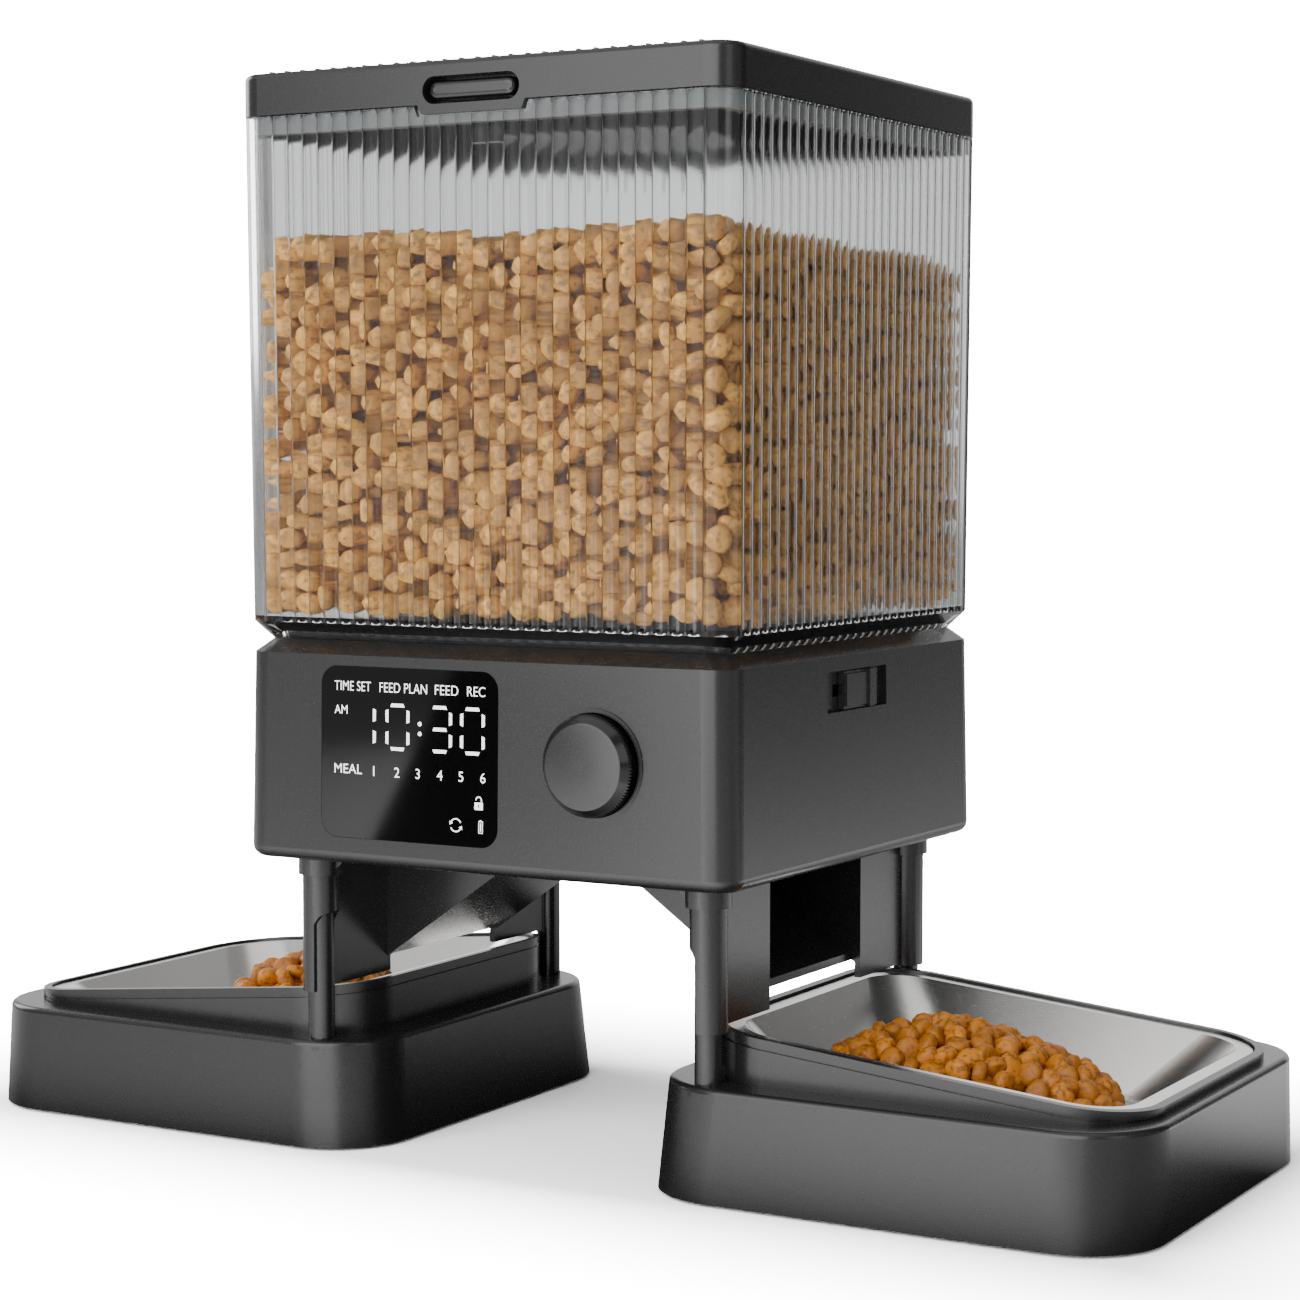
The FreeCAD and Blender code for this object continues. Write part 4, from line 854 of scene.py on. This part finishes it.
class FEEDER_OT_display(bpy.types.Operator):
    """Lay the lit legends behind the display window"""
    bl_idname = "feeder.display"
    bl_label = "Display legends"

    def execute(self, context):
        low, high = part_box("display_window")
        self.x0, self.z0 = low.x, low.z
        self.w, self.h = high.x - low.x, high.z - low.z
        parts = self.words() + self.digits() + self.icons()
        made = merged("display_legends", parts)
        # the window's face leans back with the body and the print stands just proud of it
        lean, lift = 1.3 / 77.8, 0.03 * MM
        work = bmesh.new()
        work.from_mesh(made.data)
        for v in work.verts:
            v.co.y = low.y + (v.co.z - low.z) * lean - lift
        work.normal_update()
        bmesh.ops.reverse_faces(work, faces=[f for f in work.faces if f.normal.y > 0])
        work.to_mesh(made.data)
        work.free()
        finished(made, legend_white(), "feeder")
        return {"FINISHED"}

    def at(self, across, up):
        return self.x0 + across * self.w, self.z0 + up * self.h

    def words(self):
        made = []
        thinner = -0.03 * MM
        for words, left, right in (("TIME SET", 0.075, 0.285), ("FEED PLAN", 0.335, 0.605),
                                   ("FEED", 0.65, 0.78), ("REC", 0.83, 0.93)):
            x, z = self.at(left, 0.858)
            made.append(text_mesh(words, 0.056 * self.h, x, z, (right - left) * self.w, thinner))
        x, z = self.at(0.075, 0.722)
        made.append(text_mesh("AM", 0.05 * self.h, x, z, 0.075 * self.w))
        x, z = self.at(0.075, 0.375)
        made.append(text_mesh("MEAL", 0.055 * self.h, x, z, 0.16 * self.w))
        for i in range(6):
            x, z = self.at(0.3 + 0.121 * i, 0.368)
            made.append(text_mesh(str(i + 1), 0.058 * self.h, x, z))
        return made

    def digits(self):
        tall, wide = 0.252 * self.h, 0.12 * self.w
        thick = 0.0165 * self.w
        gap = 0.02 * self.w
        parts = []
        for mark, left in (("1", 0.186), ("0", 0.378), ("3", 0.618), ("0", 0.8)):
            x, z = self.at(left, 0.533)
            mid = z + tall / 2
            ends = {"a": ((x + gap, z + tall), (x + wide - gap, z + tall)),
                    "g": ((x + gap, mid), (x + wide - gap, mid)),
                    "d": ((x + wide - gap, z), (x + gap, z)),
                    "f": ((x, mid + gap), (x, z + tall - gap)),
                    "b": ((x + wide, z + tall - gap), (x + wide, mid + gap)),
                    "e": ((x, z + gap), (x, mid - gap)),
                    "c": ((x + wide, mid - gap), (x + wide, z + gap))}
            for name in SEGMENTS[mark]:
                outline = bar(*ends[name], thick, 0.35 * thick)
                parts.append(mesh_object("segment", outline, [(0, 1, 2, 3)], smooth=False))
        for up in (0.628, 0.685):
            x, z = self.at(0.565, up)
            parts.append(self.disc(x, z, 0.0105 * self.w))
        return parts

    def disc(self, x, z, radius, inner=0.0, start=0, end=360, steps=24):
        angles = [math.radians(start + (end - start) * i / steps) for i in range(steps + 1)]
        outer = [(x + radius * math.cos(a), 0.0, z + radius * math.sin(a)) for a in angles]
        if not inner:
            return mesh_object("disc", outer[:-1], [tuple(range(steps))], smooth=False)
        inside = [(x + inner * math.cos(a), 0.0, z + inner * math.sin(a)) for a in angles]
        faces = [(i, i + 1, steps + 2 + i, steps + 1 + i) for i in range(steps)]
        return mesh_object("arc", outer + inside, faces, smooth=False)

    def plate(self, x, z, w, h):
        corners = [(x, 0.0, z), (x + w, 0.0, z), (x + w, 0.0, z + h), (x, 0.0, z + h)]
        return mesh_object("plate", corners, [(0, 1, 2, 3)], smooth=False)

    def icons(self):
        unit = self.h * 0.01
        x, z = self.at(0.874, 0.214)
        wide, tall, hole = 5.6 * unit, 4.2 * unit, 0.8 * unit
        side = (wide - hole) / 2
        # padlock: a body with a keyhole, and a shackle open on its left
        parts = [self.plate(x, z, side, tall), self.plate(x + side + hole, z, side, tall),
                 self.plate(x + side, z, hole, 1.2 * unit),
                 self.plate(x + side, z + 3.0 * unit, hole, 1.2 * unit),
                 self.disc(x + wide / 2, z + tall + 1.3 * unit, 2.2 * unit, 1.55 * unit, 0, 180),
                 self.plate(x + wide / 2 + 1.55 * unit, z + tall, 0.65 * unit, 1.3 * unit)]
        x, z = self.at(0.77, 0.118)
        for start in (25, 205):
            parts.append(self.disc(x, z, 4.0 * unit, 3.3 * unit, start, start + 125))
            turn = math.radians(start + 125)
            tip = Vector((x + 3.65 * unit * math.cos(turn), z + 3.65 * unit * math.sin(turn)))
            out = Vector((math.cos(turn), math.sin(turn))) * 1.3 * unit
            ahead = Vector((-math.sin(turn), math.cos(turn))) * 1.9 * unit
            corners = [(c.x, 0.0, c.y) for c in (tip + ahead, tip + out, tip - out)]
            parts.append(mesh_object("tip", corners, [(0, 1, 2)], smooth=False))
        x, z = self.at(0.908, 0.115)
        edge = 0.4 * unit
        half_w, half_h = 1.5 * unit, 3.5 * unit
        parts += [self.plate(x - half_w, z - half_h, edge, 2 * half_h),
                  self.plate(x + half_w - edge, z - half_h, edge, 2 * half_h),
                  self.plate(x - half_w, z - half_h, 2 * half_w, edge),
                  self.plate(x - half_w, z + half_h - edge, 2 * half_w, edge),
                  self.plate(x - 0.55 * unit, z + half_h, 1.1 * unit, 0.6 * unit),
                  self.plate(x - 0.4 * unit, z - half_h + 3 * edge, 0.8 * unit, 2 * half_h - 6 * edge)]
        return parts


# ------------------------------------------------------------------ knob
def knurl_tree():
    """Stand teeth round a circle, each turned to face outwards."""
    tree, given = group_tree("straight_knurl", Tooth="Object", Teeth="Int", Centre="Vector")
    spots = node(tree, "GeometryNodePoints", {"Count": given["Teeth"], "Position": given["Centre"]})
    step = maths(tree, "DIVIDE", math.tau, given["Teeth"])
    turn = maths(tree, "MULTIPLY", node(tree, "GeometryNodeInputIndex").outputs[0], step)
    euler = node(tree, "ShaderNodeCombineXYZ", {"Y": turn})
    rotation = node(tree, "FunctionNodeEulerToRotation", {0: euler.outputs[0]})
    shape = node(tree, "GeometryNodeObjectInfo", {"Object": given["Tooth"]})
    stood = node(tree, "GeometryNodeInstanceOnPoints",
                 {"Points": spots.outputs[0], "Instance": shape.outputs["Geometry"],
                  "Rotation": rotation.outputs[0]})
    joined = node(tree, "GeometryNodeJoinGeometry", {0: stood.outputs[0]})
    tree.links.new(given["Geometry"], joined.inputs[0])
    return ended(tree, given, joined)


class FEEDER_OT_knob(bpy.types.Operator):
    """Turn the control knob with its straight knurl"""
    bl_idname = "feeder.knob"
    bl_label = "Knurled knob"

    def execute(self, context):
        knob = sizes("feeder_knob")
        low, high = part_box("knob_cap")
        centre = Vector(((low.x + high.x) / 2, 0.0, (low.z + high.z) / 2))
        radius = (high.x - low.x) / 2
        front, back = low.y, high.y
        panel = back - 1.8 * MM
        grip = panel - knob.grip
        root = radius - knob.tooth
        slope = (radius - knob.face) / (grip - front)

        def cone(at):
            return grip - (radius - at) / slope

        ease = 0.5 * MM
        rim = (knob.face - ease, front), (knob.face, front + 0.15 * ease)
        face = self.turned("knob_face", [(2 * MM, front), *rim, (knob.face - ease, front + ease)], centre)
        finished(face, MATERIALS["black_abs"], "knob")
        core = self.turned("knob_core", [(knob.face - 0.2 * ease, front + 0.2 * ease),
                                         (knob.face + 0.35 * ease, cone(knob.face + 0.35 * ease)),
                                         (root, cone(root)), (root, back), (root - 2 * MM, back)], centre)
        half = math.pi * radius / knob.teeth
        sink = root - 0.15 * MM
        outline = [(-half, sink), (half, sink), (0.0, radius)]
        rings = [[(x, cone(max(z, root)), z) for x, z in outline], [(x, back, z) for x, z in outline]]
        points, faces = lofted(rings, closed_ends=True)
        tooth = mesh_object("tooth", points, faces, smooth=False)
        outward(tooth)
        tooth.data.shade_flat()
        polished = gloss_abs()
        made = run_tree(core, knurl_tree(), {"Tooth": tooth, "Teeth": knob.teeth, "Centre": centre,
                                             "Finish": polished}, "knurled_knob")
        bpy.data.objects.remove(tooth)
        outward(made)
        crease(made, 25)
        finished(made, polished, "knob", ["knob_cap"])
        return {"FINISHED"}

    def turned(self, name, profile, centre, around=192):
        """Closed turning about the knob's axis, through (radius, depth) pairs."""
        rings = []
        for radius, y in profile:
            ring = []
            for j in range(around):
                turn = 2 * math.pi * j / around
                ring.append((centre.x + radius * math.cos(turn), y, centre.z + radius * math.sin(turn)))
            rings.append(ring)
        points, faces = lofted(rings, closed_ends=True)
        made = mesh_object(name, points, faces)
        outward(made)
        crease(made, 25)
        return made


# ------------------------------------------------------------------ casing
class FEEDER_OT_casing(bpy.types.Operator):
    """Give every moulded and metal part of the frame its finish"""
    bl_idname = "feeder.casing"
    bl_label = "Casing finishes"

    def execute(self, context):
        MATERIALS.update(finishes())
        for part in frame["nodes"].values():
            for entry in part.material_slots:
                entry.material = MATERIALS[entry.material.name.split(".")[0]]
        # the latch button comes from a polished tool
        frame["nodes"]["lid_latch_bar"].material_slots[0].material = gloss_abs()
        return {"FINISHED"}


# ------------------------------------------------------------------ studio
# strength at which floor and air show as plain white
BURNT_OUT = 18.0


class FEEDER_OT_studio(bpy.types.Operator):
    """Set the pale floor, the soft boxes and the camera"""
    bl_idname = "feeder.studio"
    bl_label = "Studio"

    def execute(self, context):
        studio = sizes("feeder_studio")
        self.floor(studio)
        self.sky(studio)
        key = self.lamp("key_front", (-0.1, -1.75, 0.85), (-0.1, 0.0, 0.45), 2.2, 1.7, studio.key)
        # the clear wall would mirror the front box and veil the food
        veil = bpy.data.collections.new("kept_off_key")
        veil.objects.link(bpy.data.objects["reeded_hopper"])
        key.light_linking.receiver_collection = veil
        veil.collection_objects[0].light_linking.link_state = "EXCLUDE"
        self.lamp("haze_front", (-0.1, -1.75, 0.95), (-0.1, 0.0, 0.45), 2.2, 2.1, studio.haze)
        # one lamp lights the stored food only, which the wall in front of it would leave dull
        glow = self.lamp("food_front", (-0.1, -1.7, 0.5), (0.0, 0.0, 0.27), 1.6, 1.6, studio.food)
        stored = bpy.data.collections.new("lit_by_food_front")
        for part in list(bpy.data.objects):
            if part.name.startswith("stored_food"):
                stored.objects.link(part)
        glow.light_linking.receiver_collection = stored
        self.lamp("fill_right", (2.2, -0.9, 1.1), (0.1, 0.0, 0.1), 1.0, 1.4, studio.fill)
        self.lamp("top", (-0.2, -0.6, 1.8), (0.0, 0.0, 0.2), 2.4, 2.4, studio.top)
        self.lamp("left", (-1.9, 0.2, 0.9), (0.0, 0.0, 0.05), 0.9, 1.2, studio.left)
        # dark flags keep the right flank and part of the display from mirroring the white room
        self.flag("flag_right", [(0.62, 0.2, 0.16), (0.62, 1.4, 0.16), (0.62, 1.4, 1.1), (0.62, 0.2, 1.1)])
        self.flag("flag_display", [(-0.645, -0.95, 0.001), (-0.40, -0.95, 0.001), (-0.40, -0.95, 0.2),
                                   (-0.539, -0.95, 0.2)])
        # a low white card lifts the right flanks
        self.flag("card_right",
                  [(0.8, 0.3, 0.001), (0.8, 2.2, 0.001), (0.8, 2.2, 0.17), (0.8, 0.3, 0.17)], 0.2)
        self.camera()
        return {"FINISHED"}

    def flag(self, name, corners, glow=0.0):
        made = mesh_object(name, corners, [(0, 1, 2, 3)], smooth=False)
        felt = plain_finish(name + "_felt", "#101012", "#1A1A1C", (0.9, 1.0), 2.0)
        plug(felt.node_tree, felt.node_tree.nodes["Principled BSDF"],
             {"Emission Color": linear("#FFFFFF"), "Emission Strength": glow})
        made.data.materials.append(felt)

    def floor(self, studio):
        reach = 9.0
        corners = [(-reach, -reach, 0), (reach, -reach, 0), (reach, reach, 0), (-reach, reach, 0)]
        made = mesh_object("studio_floor", corners, [(0, 1, 2, 3)], smooth=False)
        material, tree, shader, place = new_material("studio_floor_matt")
        # for the camera a pale sheet that burns out to white away from the bases' outline; its lower gain by
        # the bases is painted shade round them
        outline = (0.249, 0.095, 0.0)
        far = vectors(tree, "LENGTH", place).outputs["Value"]
        beside = vectors(tree, "SUBTRACT", vectors(tree, "ABSOLUTE", place).outputs[0], outline)
        outside = vectors(tree, "MAXIMUM", beside.outputs[0], (0.0, 0.0, 0.0))
        away = vectors(tree, "LENGTH", outside.outputs[0]).outputs["Value"]
        gain = ranged(tree, away, studio.floor_near, studio.floor_far, 0.0, 0.6)
        lit = node(tree, "ShaderNodeBsdfDiffuse", {"Color": gain})
        burnt = node(tree, "ShaderNodeEmission", {"Strength": BURNT_OUT})
        burn = ranged(tree, far, 0.0, 1.0, 0.7, 2.4)
        seen = node(tree, "ShaderNodeMixShader", {0: burn, 1: lit.outputs[0], 2: burnt.outputs[0]})
        # for other rays a painted shadow: the floor is dark under the feeder, so that its underside stays
        # black
        clear = ranged(tree, away, 0.0, 1.0, 0.01, 0.16)
        # a white bounce sheet lies in front
        split = node(tree, "ShaderNodeSeparateXYZ", {0: place}).outputs
        sheet = ranged(tree, split["Y"], 0.0, studio.bounce, -0.1, -0.3)
        across = maths(tree, "MULTIPLY_ADD", split["Y"], -0.5, split["X"])
        fade = ranged(tree, across, 0.05, 1.1, -0.4, 0.25)
        # it ends short of the right, so that the rounded corner of the right base turns dark
        end = ranged(tree, across, 1.0, 0.04, 0.36, 0.46)
        front = maths(tree, "MULTIPLY", sheet, maths(tree, "MULTIPLY", fade, end))
        # another lies on the right, for the flank of the right base
        flank = maths(tree, "MINIMUM", split["X"], maths(tree, "ADD", split["Y"], 0.15))
        inside = ranged(tree, flank, 0.0, 1.0, 0.2, 0.3)
        paler = ranged(tree, far, 1.5, 0.35, 0.5, 1.0)
        # the dark grey under the feeder is painted shadow
        plug(tree, shader, {"Base Color": mixed(tree, clear, linear("#1C1C1C"), linear("#E4E4E4")),
                            "Roughness": 0.65, "Emission Color": linear("#FFFFFF"),
                            "Emission Strength": maths(tree, "MULTIPLY_ADD", inside, paler, front)})
        swapped(tree, "Is Camera Ray", shader, seen)
        made.data.materials.append(material)

    def sky(self, studio):
        world = bpy.data.worlds.new("studio_air")
        bpy.context.scene.world = world
        world.use_nodes = True
        tree = world.node_tree
        path = node(tree, "ShaderNodeLightPath").outputs["Is Camera Ray"]
        way = node(tree, "ShaderNodeTexCoord").outputs["Generated"]
        ahead = vectors(tree, "DOT_PRODUCT", way, (-0.35, 0.93, 0.12)).outputs["Value"]
        drop = ranged(tree, ahead, studio.room, studio.backdrop, 0.72, 0.93)
        power = node(tree, "ShaderNodeMix", {0: path, 2: drop, 3: BURNT_OUT}, data_type="FLOAT")
        plug(tree, tree.nodes["Background"], {0: linear("#FFFFFF"), 1: power.outputs[0]})

    def lamp(self, name, at, aim, wide, tall, watts):
        light = bpy.data.lights.new(name, "AREA")
        light.shape = "RECTANGLE"
        light.size, light.size_y = wide, tall
        light.energy = watts
        made = placed(name, light)
        made.location = at
        made.rotation_euler = (Vector(aim) - Vector(at)).to_track_quat("-Z", "Y").to_euler()
        return made

    def camera(self):
        lens = bpy.data.cameras.new("camera")
        lens.lens = 83.33
        lens.sensor_width = 36.0
        made = placed("camera", lens)
        made.location = (0.5923, -1.0095, 0.2673)
        made.rotation_euler = (math.radians(90 - 3.865), 0.0, math.radians(29.84))
        bpy.context.scene.camera = made


class FEEDER_PT_panel(bpy.types.Panel):
    """Sidebar panel that lists the feeder's steps"""
    bl_label = "Pet feeder"
    bl_idname = "FEEDER_PT_panel"
    bl_space_type = "VIEW_3D"
    bl_region_type = "UI"
    bl_category = "Feeder"

    def draw(self, context):
        for step in STEPS:
            self.layout.operator(step.bl_idname)
        for group in GROUPS:
            box = self.layout.box()
            for key in GROUPS[group].__annotations__:
                box.prop(getattr(context.scene, group), key)


STEPS = (FEEDER_OT_casing, FEEDER_OT_tank, FEEDER_OT_food, FEEDER_OT_display, FEEDER_OT_knob,
         FEEDER_OT_studio)
GROUPS = {"feeder_tank": FeederTank, "feeder_food": FeederFood, "feeder_knob": FeederKnob,
          "feeder_studio": FeederStudio, "feeder_colours": FeederColours}


def register():
    for kind in (*GROUPS.values(), *STEPS, FEEDER_PT_panel):
        bpy.utils.register_class(kind)
    for name, kind in GROUPS.items():
        setattr(bpy.types.Scene, name, bpy.props.PointerProperty(type=kind))


def unregister():
    for name in GROUPS:
        delattr(bpy.types.Scene, name)
    for kind in reversed((*GROUPS.values(), *STEPS, FEEDER_PT_panel)):
        bpy.utils.unregister_class(kind)


def main():
    register()
    for step in STEPS:
        group, name = step.bl_idname.split(".")
        getattr(getattr(bpy.ops, group), name)()


if __name__ == "__main__":
    main()
